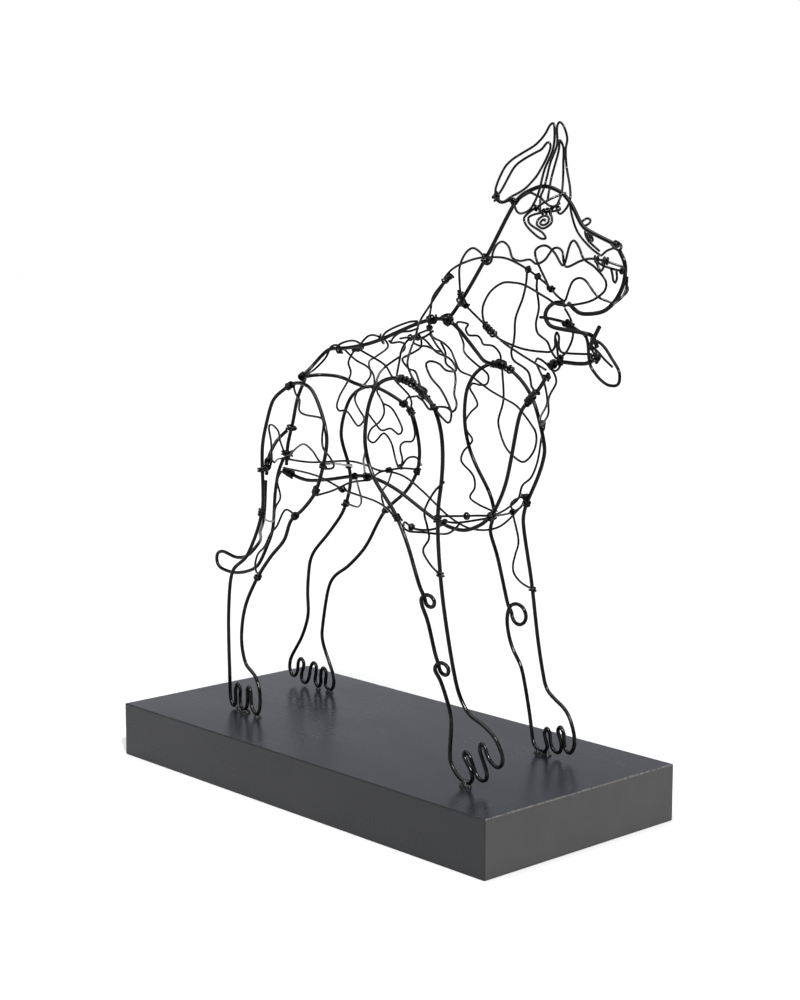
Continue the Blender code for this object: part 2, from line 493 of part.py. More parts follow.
def settled(wires):
    """Moves the wires apart, as little as they need, until no two run through each other."""
    points = np.vstack([wire.points for wire in wires])
    radius = np.concatenate([np.full(len(w.points), w.gauge / 2) for w in wires])
    ease = np.concatenate([np.full(len(w.points), 1 / w.firmness) for w in wires])
    start, end, owner, place = [], [], [], []
    first = 0
    for number, wire in enumerate(wires):
        count = len(wire.points)
        steps = np.linalg.norm(np.diff(wire.points, axis=0), axis=1)
        run = np.concatenate([[0], np.cumsum(steps)])
        for i in range(count if wire.closed else count - 1):
            start.append(first + i)
            end.append(first + (i + 1) % count)
            owner.append(number)
            place.append(run[i])
        first += count
    start, end, owner, place = (np.array(x) for x in (start, end, owner, place))
    middle = (points[start] + points[end]) / 2
    reach = np.linalg.norm(points[start] - points[end], axis=1) / 2 + LOOK_AROUND
    one, two = np.triu_indices(len(start), 1)
    close = np.linalg.norm(middle[one] - middle[two], axis=1) < reach[one] + reach[two]
    one, two = one[close], two[close]
    joined = (start[one] == end[two]) | (end[one] == start[two])
    bend = SAME_BEND * radius[start[one]]
    near_on_wire = (owner[one] == owner[two]) & (np.abs(place[one] - place[two]) < bend)
    one, two = one[~(joined | near_on_wire)], two[~(joined | near_on_wire)]
    a, b, c, d = start[one], end[one], start[two], end[two]
    need = radius[a] + radius[c] + CLEARANCE
    for _ in range(SETTLE_ROUNDS):
        s, t = nearest(points[a], points[b], points[c], points[d])
        s, t = s[:, None], t[:, None]
        here = points[a] * (1 - s) + points[b] * s
        there = points[c] * (1 - t) + points[d] * t
        away = there - here
        gap = np.linalg.norm(away, axis=1)
        push = gap < need
        if not push.any():
            break
        crossing = np.cross(points[b] - points[a], points[d] - points[c])
        outward = np.where(there[:, 1] < 0, -1.0, 1.0)
        crossing *= np.where(crossing[:, 1] * outward < 0, -1.0, 1.0)[:, None]
        size = np.linalg.norm(crossing, axis=1)
        size = np.maximum(size, 1e-12)[:, None]
        crossing = np.where(size > 1e-9, crossing / size, (0, 1, 0))
        way = np.where(gap[:, None] > NO_GAP, away / np.maximum(gap, 1e-9)[:, None], crossing)
        short = np.where(push, need * SETTLE_MARGIN - gap, 0.0)[:, None]
        total = ease[a] + ease[c]
        move_one = -way * short * (ease[a] / total)[:, None]
        move_two = way * short * (ease[c] / total)[:, None]
        moves = np.zeros_like(points)
        share_one = (1 - s) ** 2 + s**2
        share_two = (1 - t) ** 2 + t**2
        for at, move in (
            (a, move_one * (1 - s) / share_one),
            (b, move_one * s / share_one),
            (c, move_two * (1 - t) / share_two),
            (d, move_two * t / share_two),
        ):
            np.add.at(moves, at, move)
        points = points + moves * SETTLE_SHARE
        ground = PLINTH_HEIGHT + CLEARANCE + radius
        points[:, 2] = np.maximum(points[:, 2], ground)
    first = 0
    for wire in wires:
        wire.points = points[first : first + len(wire.points)]
        first += len(wire.points)
    return wires


def paint(name, colour, roughness):
    """A plain painted finish."""
    finish = bpy.data.materials.new(name)
    finish.use_nodes = True
    surface = finish.node_tree.nodes["Principled BSDF"]
    surface.inputs["Base Color"].default_value = colour
    surface.inputs["Roughness"].default_value = roughness
    surface.inputs["Metallic"].default_value = 0.0
    return finish


def tube(wire):
    """A round wire along its route, with closed ends."""
    data = bpy.data.curves.new(wire.name, "CURVE")
    data.dimensions = "3D"
    data.bevel_depth = wire.gauge / 2
    data.bevel_resolution = FILL_SIDES if wire.gauge == FILL_WIRE else FRAME_SIDES
    data.use_fill_caps = not wire.closed
    spline = data.splines.new("POLY")
    spline.points.add(len(wire.points) - 1)
    for point, place in zip(spline.points, wire.points):
        point.co = (*place, 1)
    spline.use_cyclic_u = wire.closed
    spline.use_smooth = True
    made = bpy.data.objects.new(wire.name, data)
    data.materials.append(paint(wire.name + "_lacquer", LACQUER_COLOUR, 0.25))
    bpy.context.scene.collection.objects.link(made)
    return made


def plinth():
    """The block the dog stands on, with its sharp edges eased."""
    mesh = bpy.data.meshes.new("plinth")
    block = bmesh.new()
    bmesh.ops.create_cube(block, size=1)
    bmesh.ops.scale(block, vec=(PLINTH_LENGTH, PLINTH_WIDTH, PLINTH_HEIGHT), verts=block.verts)
    bmesh.ops.translate(block, vec=(0, 0, PLINTH_HEIGHT / 2), verts=block.verts)
    block.to_mesh(mesh)
    block.free()
    made = bpy.data.objects.new("plinth", mesh)
    mesh.materials.append(paint("plinth_paint", PLINTH_COLOUR, 0.4))
    eased = made.modifiers.new("eased_edges", "BEVEL")
    eased.width = PLINTH_EDGE
    eased.segments = 2
    bpy.context.scene.collection.objects.link(made)
    return made


def main():
    for old in list(bpy.data.objects):
        bpy.data.objects.remove(old)
    wires = [Wire(name, FRAME_WIRE, route, True, 12) for name, route in LOOPS.items()]
    wires += [Wire(name, FRAME_WIRE, route, False, 4) for name, route in FRAME.items()]
    wires += [Wire(name, TONGUE_WIRE, route, False, 2) for name, route in TONGUE.items()]
    for group in (HEAD, CHEST, BODY):
        wires += [Wire(name, FILL_WIRE, route, False, 1) for name, route in group.items()]
    for wire in settled(wires):
        tube(wire)
    plinth()


main()
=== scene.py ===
# %% [markdown]
# # A standing dog of bent black wire
# The real dog is drawn in the air with black steel wire: a thick one for the outline, a thin one that
# fills it, and one between the two for the tongue. Its feet are fixed to a black painted block. The packed
# model already holds every long wire as a plain tube of few sides. This lesson redraws each of them round
# and smooth, winds their ends on one another as the maker did, and paints them. The first step loads the
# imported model, which stays as it is, and notes how large it is.

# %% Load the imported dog
import math

import bmesh
import bpy
import numpy as np
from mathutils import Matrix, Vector


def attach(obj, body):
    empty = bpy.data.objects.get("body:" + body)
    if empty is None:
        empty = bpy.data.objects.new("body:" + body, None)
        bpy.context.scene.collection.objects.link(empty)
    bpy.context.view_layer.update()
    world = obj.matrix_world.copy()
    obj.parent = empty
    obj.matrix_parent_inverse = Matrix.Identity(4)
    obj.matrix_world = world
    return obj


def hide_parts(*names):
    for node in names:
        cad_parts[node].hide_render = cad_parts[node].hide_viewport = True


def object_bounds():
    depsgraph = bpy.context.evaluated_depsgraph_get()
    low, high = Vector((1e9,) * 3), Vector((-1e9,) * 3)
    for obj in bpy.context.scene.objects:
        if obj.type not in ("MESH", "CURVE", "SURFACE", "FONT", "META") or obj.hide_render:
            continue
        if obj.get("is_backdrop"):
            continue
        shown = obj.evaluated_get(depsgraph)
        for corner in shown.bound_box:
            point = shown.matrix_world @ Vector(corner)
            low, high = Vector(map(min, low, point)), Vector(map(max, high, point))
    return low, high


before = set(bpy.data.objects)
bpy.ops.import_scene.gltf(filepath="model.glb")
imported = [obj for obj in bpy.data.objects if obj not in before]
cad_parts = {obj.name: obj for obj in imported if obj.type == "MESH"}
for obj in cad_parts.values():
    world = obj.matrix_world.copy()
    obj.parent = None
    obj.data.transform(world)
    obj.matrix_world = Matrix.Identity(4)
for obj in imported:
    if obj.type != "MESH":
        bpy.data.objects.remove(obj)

cad_box = [list(corner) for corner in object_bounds()]
print("packed model from", cad_box[0], "to", cad_box[1])

# %% [markdown]
# ## The camera
# The photograph was taken from the dog's right, a little ahead of it and just above its back. A long lens
# from more than a metre away keeps the plinth's sides almost parallel. The place and the aim were worked
# out from the plinth's corners, so they are given as a position and two angles.

# %% Camera
CAMERA_PLACE = Vector((0.9017, -0.8129, 0.3692))
CAMERA_AZIMUTH = math.radians(47.48)
CAMERA_ELEVATION = math.radians(8.71)
LENS_MM = 71.2
SENSOR_MM = 36

back = Vector((
    math.sin(CAMERA_AZIMUTH) * math.cos(CAMERA_ELEVATION),
    -math.cos(CAMERA_AZIMUTH) * math.cos(CAMERA_ELEVATION),
    math.sin(CAMERA_ELEVATION),
))
camera = bpy.data.objects.new("camera", bpy.data.cameras.new("camera"))
camera.data.lens = LENS_MM
camera.data.sensor_width = SENSOR_MM
camera.location = CAMERA_PLACE
camera.rotation_mode = "QUATERNION"
camera.rotation_quaternion = (-back).to_track_quat("-Z", "Y")
bpy.context.scene.collection.objects.link(camera)
bpy.context.scene.camera = camera
print("camera", round(CAMERA_PLACE.length, 2), "m from the plinth's middle")

# %% [markdown]
# ## Arithmetic on sockets
# A finish is a small network of nodes. Written out node by node it is hard to read, so one class wraps a
# socket and lets it be added, subtracted and multiplied like a number. Every other node comes from one
# function that takes its type, its settings, and what its sockets hold.


# %% A socket that does sums
class Shade:
    """One output of a material's network, which can be used in plain sums."""

    def __init__(self, tree, socket):
        self.tree = tree
        self.socket = socket

    def sum_with(self, operation, first, second):
        return add_node(self.tree, "ShaderNodeMath", {"operation": operation}, {0: first, 1: second})

    def __add__(self, other):
        return self.sum_with("ADD", self, other)

    def __radd__(self, other):
        return self.sum_with("ADD", other, self)

    def __sub__(self, other):
        return self.sum_with("SUBTRACT", self, other)

    def __rsub__(self, other):
        return self.sum_with("SUBTRACT", other, self)

    def __mul__(self, other):
        return self.sum_with("MULTIPLY", self, other)

    def __rmul__(self, other):
        return self.sum_with("MULTIPLY", other, self)

    def __abs__(self):
        return add_node(self.tree, "ShaderNodeMath", {"operation": "ABSOLUTE"}, {0: self})


def fill_socket(tree, socket, value):
    """Links a socket to a Shade, or sets it to a plain value."""
    if isinstance(value, Shade):
        tree.links.new(value.socket, socket)
    else:
        socket.default_value = value


def add_node(tree, kind, settings=None, sockets=None, output=0):
    """Adds any node: its settings first, then the values or links of its sockets."""
    node = tree.nodes.new(kind)
    for name, value in (settings or {}).items():
        setattr(node, name, value)
    for name, value in (sockets or {}).items():
        fill_socket(tree, node.inputs[name], value)
    return None if output is None else Shade(tree, node.outputs[output])


def new_finish(name):
    """An empty painted finish, with its network and its shader."""
    finish = bpy.data.materials.new(name)
    finish.use_nodes = True
    return finish, finish.node_tree, finish.node_tree.nodes["Principled BSDF"]


def speckle(tree, scale, detail=2.0, stretch=(1, 1, 1)):
    """Soft noise from 0 to 1 that sticks to the piece; scale is in spots a metre."""
    place = add_node(tree, "ShaderNodeTexCoord", output="Object")
    spread = add_node(tree, "ShaderNodeMapping", {}, {"Vector": place, "Scale": stretch})
    return add_node(tree, "ShaderNodeTexNoise", {}, {"Vector": spread, "Scale": scale, "Detail": detail})


def between(tree, share, low, high):
    """A colour on the way from one to another."""
    mixed = {"data_type": "RGBA"}
    return add_node(tree, "ShaderNodeMix", mixed, {"Factor": share, "A": low, "B": high}, output=2)


def position(tree, axis):
    """Where on its piece a point lies, along one axis."""
    place = add_node(tree, "ShaderNodeTexCoord", output="Object")
    return add_node(tree, "ShaderNodeSeparateXYZ", {}, {"Vector": place}, output=axis)


def rise(tree, share, low, high):
    """0 below the low value, 1 above the high one, and smooth between."""
    smooth = {"interpolation_type": "SMOOTHSTEP"}
    return add_node(tree, "ShaderNodeMapRange", smooth, {"Value": share, "From Min": low, "From Max": high})


def bump(tree, height, depth, strength):
    """A normal that follows a height given from 0 to 1."""
    return add_node(
        tree, "ShaderNodeBump", {}, {"Height": height, "Distance": depth, "Strength": strength}
    )


print("socket sums ready")

# %% [markdown]
# ## Black lacquer on the wire
# Florist's and craft wire comes black from the reel: a thin, glossy coat over steel. From a step away it is
# nearly pure black with small bright glints. Close up it isn't even: the coat is a little duller where
# fingers and pliers have rubbed it, it has a fine drawn texture, and small nicks show where a tool slipped.
# Noise at three sizes gives these, and only colour, roughness and the normal change with it.

# %% Wire finish
LACQUER_DEEP = (0.0004, 0.0004, 0.0005, 1)
LACQUER_RUBBED = (0.0022, 0.0020, 0.0018, 1)
NICK_STEEL = (0.10, 0.095, 0.09, 1)
HANDLED_SPOTS = 70
GRAIN_SPOTS = 2600
NICK_SPOTS = 900
LACQUER_ROUGHNESS = 0.09
HANDLED_ROUGHER = 0.09
GRAIN_ROUGHER = 0.05
LACQUER_SHINE = 0.16
COAT_DEPTH = 0.00006
COAT_RELIEF = 0.35

lacquer, tree, shader = new_finish("black_wire_lacquer")
handled = rise(tree, speckle(tree, HANDLED_SPOTS, 3), 0.42, 0.66)
grain = speckle(tree, GRAIN_SPOTS, 2)
nicks = rise(tree, speckle(tree, NICK_SPOTS, 1), 0.755, 0.785)
coat_colour = between(tree, handled, LACQUER_DEEP, LACQUER_RUBBED)
coat_roughness = LACQUER_ROUGHNESS + HANDLED_ROUGHER * handled + GRAIN_ROUGHER * grain
coat_relief = bump(tree, grain * 0.6 + handled * 0.4, COAT_DEPTH, COAT_RELIEF)
fill_socket(tree, shader.inputs["Base Color"], between(tree, nicks * 0.6, coat_colour, NICK_STEEL))
fill_socket(tree, shader.inputs["Roughness"], coat_roughness)
fill_socket(tree, shader.inputs["Metallic"], nicks * 0.5)
fill_socket(tree, shader.inputs["Normal"], coat_relief)
shader.inputs["Specular IOR Level"].default_value = LACQUER_SHINE
print("wire finish:", len(tree.nodes), "nodes")

# %% [markdown]
# ## Solder under the toes
# Where a toe meets the block there is a small dark drop that holds it. It is black too, but it flowed:
# it has a skin of its own, with a few brownish pits and burnt spots that are duller than the rest.

# %% Solder finish
SOLDER_DARK = (0.0015, 0.0015, 0.0015, 1)
SOLDER_BURNT = (0.020, 0.015, 0.011, 1)
PIT_SPOTS = 900
SOLDER_ROUGHNESS = 0.14
PIT_ROUGHER = 0.22
PIT_DEPTH = 0.0004
PIT_RELIEF = 0.6
SOLDER_SHINE = 0.3

drop_finish, tree, shader = new_finish("foot_solder")
pits = rise(tree, speckle(tree, PIT_SPOTS, 2), 0.52, 0.68)
fill_socket(tree, shader.inputs["Base Color"], between(tree, pits, SOLDER_DARK, SOLDER_BURNT))
fill_socket(tree, shader.inputs["Roughness"], SOLDER_ROUGHNESS + PIT_ROUGHER * pits)
fill_socket(tree, shader.inputs["Normal"], bump(tree, 1 - pits, PIT_DEPTH, PIT_RELIEF))
shader.inputs["Specular IOR Level"].default_value = SOLDER_SHINE
print("solder finish:", len(tree.nodes), "nodes")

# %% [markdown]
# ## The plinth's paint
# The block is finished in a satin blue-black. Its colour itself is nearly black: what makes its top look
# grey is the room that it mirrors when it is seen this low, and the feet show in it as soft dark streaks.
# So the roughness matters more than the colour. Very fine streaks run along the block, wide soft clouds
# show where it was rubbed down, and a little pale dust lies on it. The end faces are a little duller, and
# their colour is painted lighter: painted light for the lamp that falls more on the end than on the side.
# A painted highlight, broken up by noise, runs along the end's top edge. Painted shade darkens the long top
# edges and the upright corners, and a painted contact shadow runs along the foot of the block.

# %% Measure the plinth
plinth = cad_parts["plinth"]
plinth_corner = [max(vertex.co[axis] for vertex in plinth.data.vertices) for axis in range(3)]
reaches = [round(value * 1000, 2) for value in plinth_corner]
print("plinth reaches", reaches, "mm from its middle and its foot")

# %% Plinth finish
PAINT_DEEP = (0.0018, 0.0022, 0.0040, 1)
PAINT_WORN = (0.0062, 0.0065, 0.0084, 1)
# Painted light: a lighter colour for the end faces, standing in for the lamp that falls more on them
END_PAINTED_LIGHTER = (0.0285, 0.0272, 0.0262, 1)
# Painted highlight along the top edge of the end faces
EDGE_PAINTED_HIGHLIGHT = (0.080, 0.076, 0.070, 1)
# Painted shade for the long top edges and upright corners, and a painted contact shadow at the foot
PAINTED_EDGE_SHADE = (0.0015, 0.0015, 0.0015, 1)
DUST = (0.12, 0.12, 0.12, 1)
EDGE_START = 0.0009
EDGE_FULL = 0.0004
CLOUD_SPOTS = 14
CLOUD_STRETCH = (1, 1.6, 1.6)
STREAK_SPOTS = 420
STREAK_STRETCH = (0.05, 1, 1)
END_CLOUD_SPOTS = 60
PEEL_SPOTS = 1100
DUST_SPOTS = 1700
# Noise that breaks up the painted edge highlight
EDGE_HIGHLIGHT_SPOTS = 900
PAINT_ROUGHNESS = 0.23
PEEL_DEPTH = 0.00003
PEEL_RELIEF = 0.10
PAINT_SHINE = 0.36

paint, tree, shader = new_finish("plinth_satin_paint")
clouds = rise(tree, speckle(tree, CLOUD_SPOTS, 4, CLOUD_STRETCH), 0.34, 0.68)
streaks = speckle(tree, STREAK_SPOTS, 3, STREAK_STRETCH)
end_clouds = speckle(tree, END_CLOUD_SPOTS, 4)
peel = speckle(tree, PEEL_SPOTS, 2)
dust = rise(tree, speckle(tree, DUST_SPOTS, 0), 0.80, 0.84)
near_end, near_side, near_top = [
    rise(tree, abs(position(tree, axis)), reach - EDGE_START, reach - EDGE_FULL)
    for axis, reach in zip("XYZ", plinth_corner)
]
# The lowest strip of the sides, where the painted contact shadow goes
near_foot = 1 - rise(tree, position(tree, "Z"), EDGE_FULL, EDGE_START)
# Painted highlight: a pale line along the end's top edge, broken up by noise
edge_highlight = near_end * near_top * rise(tree, speckle(tree, EDGE_HIGHLIGHT_SPOTS, 2), 0.36, 0.60)
# Painted shade: dark lines along the long top edges and the upright corners, and a painted contact shadow
# at the foot
painted_shade_lines = rise(tree, near_side * near_top + near_foot + near_side * near_end, 0.0, 1.0)
painted = between(tree, clouds * 0.6 + streaks * 0.4, PAINT_DEEP, PAINT_WORN)
# Painted light: the end faces take the lighter colour, blotched by noise
painted = between(tree, near_end * (0.55 + 0.45 * end_clouds), painted, END_PAINTED_LIGHTER)
# Painted highlight laid on the end's top edge
painted = between(tree, edge_highlight, painted, EDGE_PAINTED_HIGHLIGHT)
# Painted shade and painted contact shadow laid on the edges and the foot
painted = between(tree, painted_shade_lines * 0.9, painted, PAINTED_EDGE_SHADE)
painted = between(tree, dust * 0.5, painted, DUST)
duller = 0.05 * clouds + 0.07 * streaks + 0.08 * near_end + 0.25 * painted_shade_lines
paint_relief = bump(tree, peel * 0.3 + streaks * 0.7, PEEL_DEPTH, PEEL_RELIEF)
fill_socket(tree, shader.inputs["Base Color"], painted)
fill_socket(tree, shader.inputs["Roughness"], PAINT_ROUGHNESS + duller)
fill_socket(tree, shader.inputs["Normal"], paint_relief)
shader.inputs["Specular IOR Level"].default_value = PAINT_SHINE

plinth.data.materials.clear()
plinth.data.materials.append(paint)
print("plinth finish:", len(tree.nodes), "nodes")

# %% [markdown]
# ## Sizes of the dog
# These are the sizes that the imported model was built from, as far as the wires need them, in metres. The
# routes further on are drawn in millimetres: x to the dog's head, y to its left, z up. They are drawn for a
# dog of a certain height that stands on ground of a certain height, and one number brings them to size.

# %% Sizes
PLINTH_HEIGHT = 0.035
FIGURE_HEIGHT = 0.374
FRAME_WIRE = 0.0024
FILL_WIRE = 0.0014
TONGUE_WIRE = 0.0018
CLEARANCE = 0.0003

# The routes are drawn for a dog this tall, standing on ground at this height
DRAWN_HEIGHT = 374
DRAWN_GROUND = 34
SCALE = FIGURE_HEIGHT / DRAWN_HEIGHT
print("thick wire", FRAME_WIRE * 1000, "mm, thin wire", FILL_WIRE * 1000, "mm")

# %% [markdown]
# ## Curls and eyes
# Two shapes come from a formula instead of a list of points: the single turns that mark the joints of
# the front legs, and the flat coils of the eyes. Their lengths are in millimetres of the drawing, and
# their angles in degrees.

# %% Shapes bent to a rule
EYE_RADIUS = 4.7
EYE_TURNS = 2.25
EYE_YAW = 25
EYE_LEAN = 30
PUPIL_SHARE = 0.2
LEG_CURL = (4.8, 3.6)
SHIN_CURL = (7.0, 6.5)
CURL_STEP = 3.2
CURL_POINTS = 8


def curl(left, z, radii, y):
    """One full turn of the wire, in the leg's own plane, that starts and ends at its left side."""
    wide, high = radii
    turn = []
    for i in range(CURL_POINTS + 1):
        angle = math.pi + 2 * math.pi * i / CURL_POINTS
        side = y + CURL_STEP * (0.5 - i / CURL_POINTS)
        turn.append((left + wide + wide * math.cos(angle), side, z + high * math.sin(angle)))
    return turn


def eye_spiral(centre, begin):
    """A flat coil that winds in to the pupil, turned and leaned as the face is on its side."""
    x, y, z = centre
    inward = 1 if y < 0 else -1
    yaw, lean = math.radians(EYE_YAW), math.radians(EYE_LEAN)
    steps = round(EYE_TURNS * CURL_POINTS)
    coil = []
    for i in range(steps + 1):
        angle = math.radians(begin) - 2 * math.pi * EYE_TURNS * i / steps
        radius = EYE_RADIUS * (1 - (1 - PUPIL_SHARE) * i / steps)
        ahead, up = radius * math.cos(angle), radius * math.sin(angle)
        side = y + inward * (ahead * math.sin(yaw) + up * math.sin(lean))
        coil.append((x + ahead * math.cos(yaw), side, z + up * math.cos(lean)))
    return coil


print("one leg curl has", len(curl(0, 0, LEG_CURL, 0)), "points")

# %% [markdown]
# ## The legs
# Each leg is one loop of thick wire. It goes up round the thigh or shoulder, down the other side, and is
# bent at the bottom into toes, back and forth three or four times.

# %% Leg routes
LOOPS = {
    "right_hind_leg": [
        (-53, -25, 253), (-38, -27, 251), (-27, -30, 243), (-17, -33, 230), (-14, -34, 220),
        (-18, -35, 201), (-24, -35, 188), (-36, -35, 176), (-49, -34, 167), (-56, -34, 154),
        (-70, -34, 141), (-85, -34, 124), (-97, -34, 104), (-101, -34, 86), (-99, -35, 75.5),
        (-96, -34.5, 66.5), (-87, -34, 59.5), (-83, -34.5, 53), (-81, -35, 49), (-80, -36, 43),
        (-80, -37, 38), (-83, -37, 36), (-87.5, -36.5, 39), (-89.5, -36, 45), (-90.5, -35.5, 50),
        (-92.5, -35.5, 52), (-94, -35.5, 50), (-93.5, -35.5, 43), (-95, -35.5, 37.5), (-98.5, -35, 36),
        (-102.5, -34.5, 38), (-103.5, -34, 43), (-103.5, -34, 49), (-106, -34, 51.5), (-108, -34, 48.5),
        (-108, -34, 42), (-108.5, -34, 37.5), (-110.5, -34, 36), (-113, -34, 38.5), (-114, -34, 45),
        (-113, -35, 54.5), (-113, -35, 76), (-113, -35, 103), (-108, -35, 127), (-94, -35, 138),
        (-88, -34, 148), (-78, -34, 170), (-77, -34, 190), (-78.5, -33, 210), (-76, -31, 227),
        (-73, -28, 241), (-63, -26, 249),
    ],
    "left_hind_leg": [
        (-47, 35, 247), (-61, 36, 245), (-72, 37, 239), (-80, 38, 228), (-85, 39, 212), (-79, 40, 193),
        (-77, 40, 182), (-84, 40, 162), (-99, 40, 145), (-118, 40, 125), (-122, 40, 102),
        (-122, 40, 84), (-130, 40, 66), (-137, 40, 57), (-141.5, 40, 49), (-142, 40, 43),
        (-140, 40, 39.5), (-137, 40, 39), (-134.5, 40, 41.5), (-133, 40, 46), (-132.5, 40, 50),
        (-129.5, 40, 52.5), (-127, 40, 50), (-127.5, 40, 45.5), (-129.5, 40, 40.5), (-128.5, 40, 37),
        (-125, 40, 36), (-122, 40, 39.5), (-120, 40, 44), (-119, 40, 49), (-116, 40, 52),
        (-113.5, 40, 50), (-114, 40, 44), (-114.5, 40, 38.5), (-111.5, 40, 36), (-109, 40, 38.5),
        (-108.5, 40, 44), (-108, 40, 48), (-105.5, 40, 50), (-103, 40, 48), (-103.5, 40, 43),
        (-103.5, 40, 38), (-100, 40, 36), (-96.5, 40, 37.5), (-95, 40, 41.5), (-95.5, 40, 46),
        (-99, 40, 54.5), (-104, 40, 63), (-107, 40, 71), (-105, 40, 86), (-97, 40, 112), (-79, 40, 125),
        (-63, 40, 139), (-43, 40, 166), (-36, 40, 171), (-23, 40, 181), (-13, 40, 194), (-10, 40, 206),
        (-12, 40, 219), (-18, 40, 233), (-29, 39, 240),
    ],
    "right_front_leg": [
        (43, -45, 258), (37, -45, 247), (34, -45, 233), (34, -45, 223), (37, -45, 213), (43, -45, 203),
        (53, -45, 193), (63, -45, 182), (71, -45, 168), (78, -45, 152), (82, -45, 144),
        *curl(84, 138, LEG_CURL, -45),
        (87, -45, 128), (92, -45, 115), (95, -45, 106),
        *curl(96, 100, LEG_CURL, -45),
        (99, -45, 93), (103, -45, 83), (107.5, -45, 73.5), (107.5, -45, 61), (107, -45, 49),
        (109, -45, 43.5), (115, -44.5, 38), (119, -44, 36), (122.5, -44, 37), (124.5, -44, 40),
        (124, -44, 43.5), (120.5, -44, 48), (117.5, -44, 52), (118.5, -44, 54.5), (121, -44, 53.5),
        (123.5, -44, 49), (127, -43.5, 42), (131, -43, 40), (134.5, -43, 41.5), (135, -43, 45),
        (132.5, -43, 51.5), (129.5, -43, 57), (129.5, -43, 60.5), (131.5, -43, 61.5), (134, -43, 58.5),
        (137.5, -43, 53), (142, -42, 50), (145.5, -42, 52), (146.5, -42, 55.5), (145, -42, 60),
        (140.5, -43, 67.5), (131.5, -43.5, 73), (122, -44, 77), (117, -45, 83), (112, -45, 93),
        (107, -45, 111), (103, -45, 128), (99, -45, 149), (98, -45, 163), (96, -45, 181),
        (97, -45, 198), (99, -45, 209), (100, -45, 224), (98, -45, 239), (92, -45, 251), (84, -45, 258),
        (74, -45, 263), (63, -45, 265), (51, -45, 263),
    ],
    "left_front_leg": [
        (56, 41, 176), (53, 41, 165), (59, 41, 150), (65, 41, 132), (69, 41, 120),
        *curl(70, 116, SHIN_CURL, 41),
        (69, 41, 104), (74, 41, 92), (80, 41, 84), (85.5, 40, 70), (90, 38.5, 57.5), (93, 38, 45),
        (96, 37, 38.5), (100, 37, 36), (104, 37, 36), (106.5, 37, 38.5), (106, 37, 43), (104.5, 37, 48),
        (105.5, 37.5, 50.5), (107.5, 38, 48), (109, 38, 41), (112, 38.5, 37), (115, 39, 37.5),
        (116.5, 39, 41), (115.5, 39, 46), (113.5, 39, 51), (115.5, 39, 53), (118, 39, 50),
        (118.5, 39, 45), (120, 39, 40), (123, 39, 38.5), (126, 39, 41.5), (127, 39, 47),
        (125.5, 39.5, 52.5), (121, 40, 61), (115.5, 40, 66), (107.5, 41, 69.5), (102, 41, 74),
        (97, 41, 90), (92, 41, 115), (88, 41, 139), (83, 41, 162), (81, 41, 176), (85, 41, 189),
        (93, 41, 203), (98, 41, 219), (95, 41, 232), (90, 41, 245), (83, 41, 255), (73, 41, 263),
        (61, 41, 268), (50, 41, 267), (39, 41, 261), (32, 41, 251), (30, 41, 241), (31, 41, 225),
        (36, 41, 211), (43, 41, 200), (52, 41, 188),
    ],
}
print(len(LOOPS), "legs")

# %% [markdown]
# ## Back, neck, belly and tail
# More thick wire gives the dog its outline: the back, the neck and crown in one sweep down to the nose,
# the belly that turns up into the chest, the hanging loop of the tail, and the open jaws.

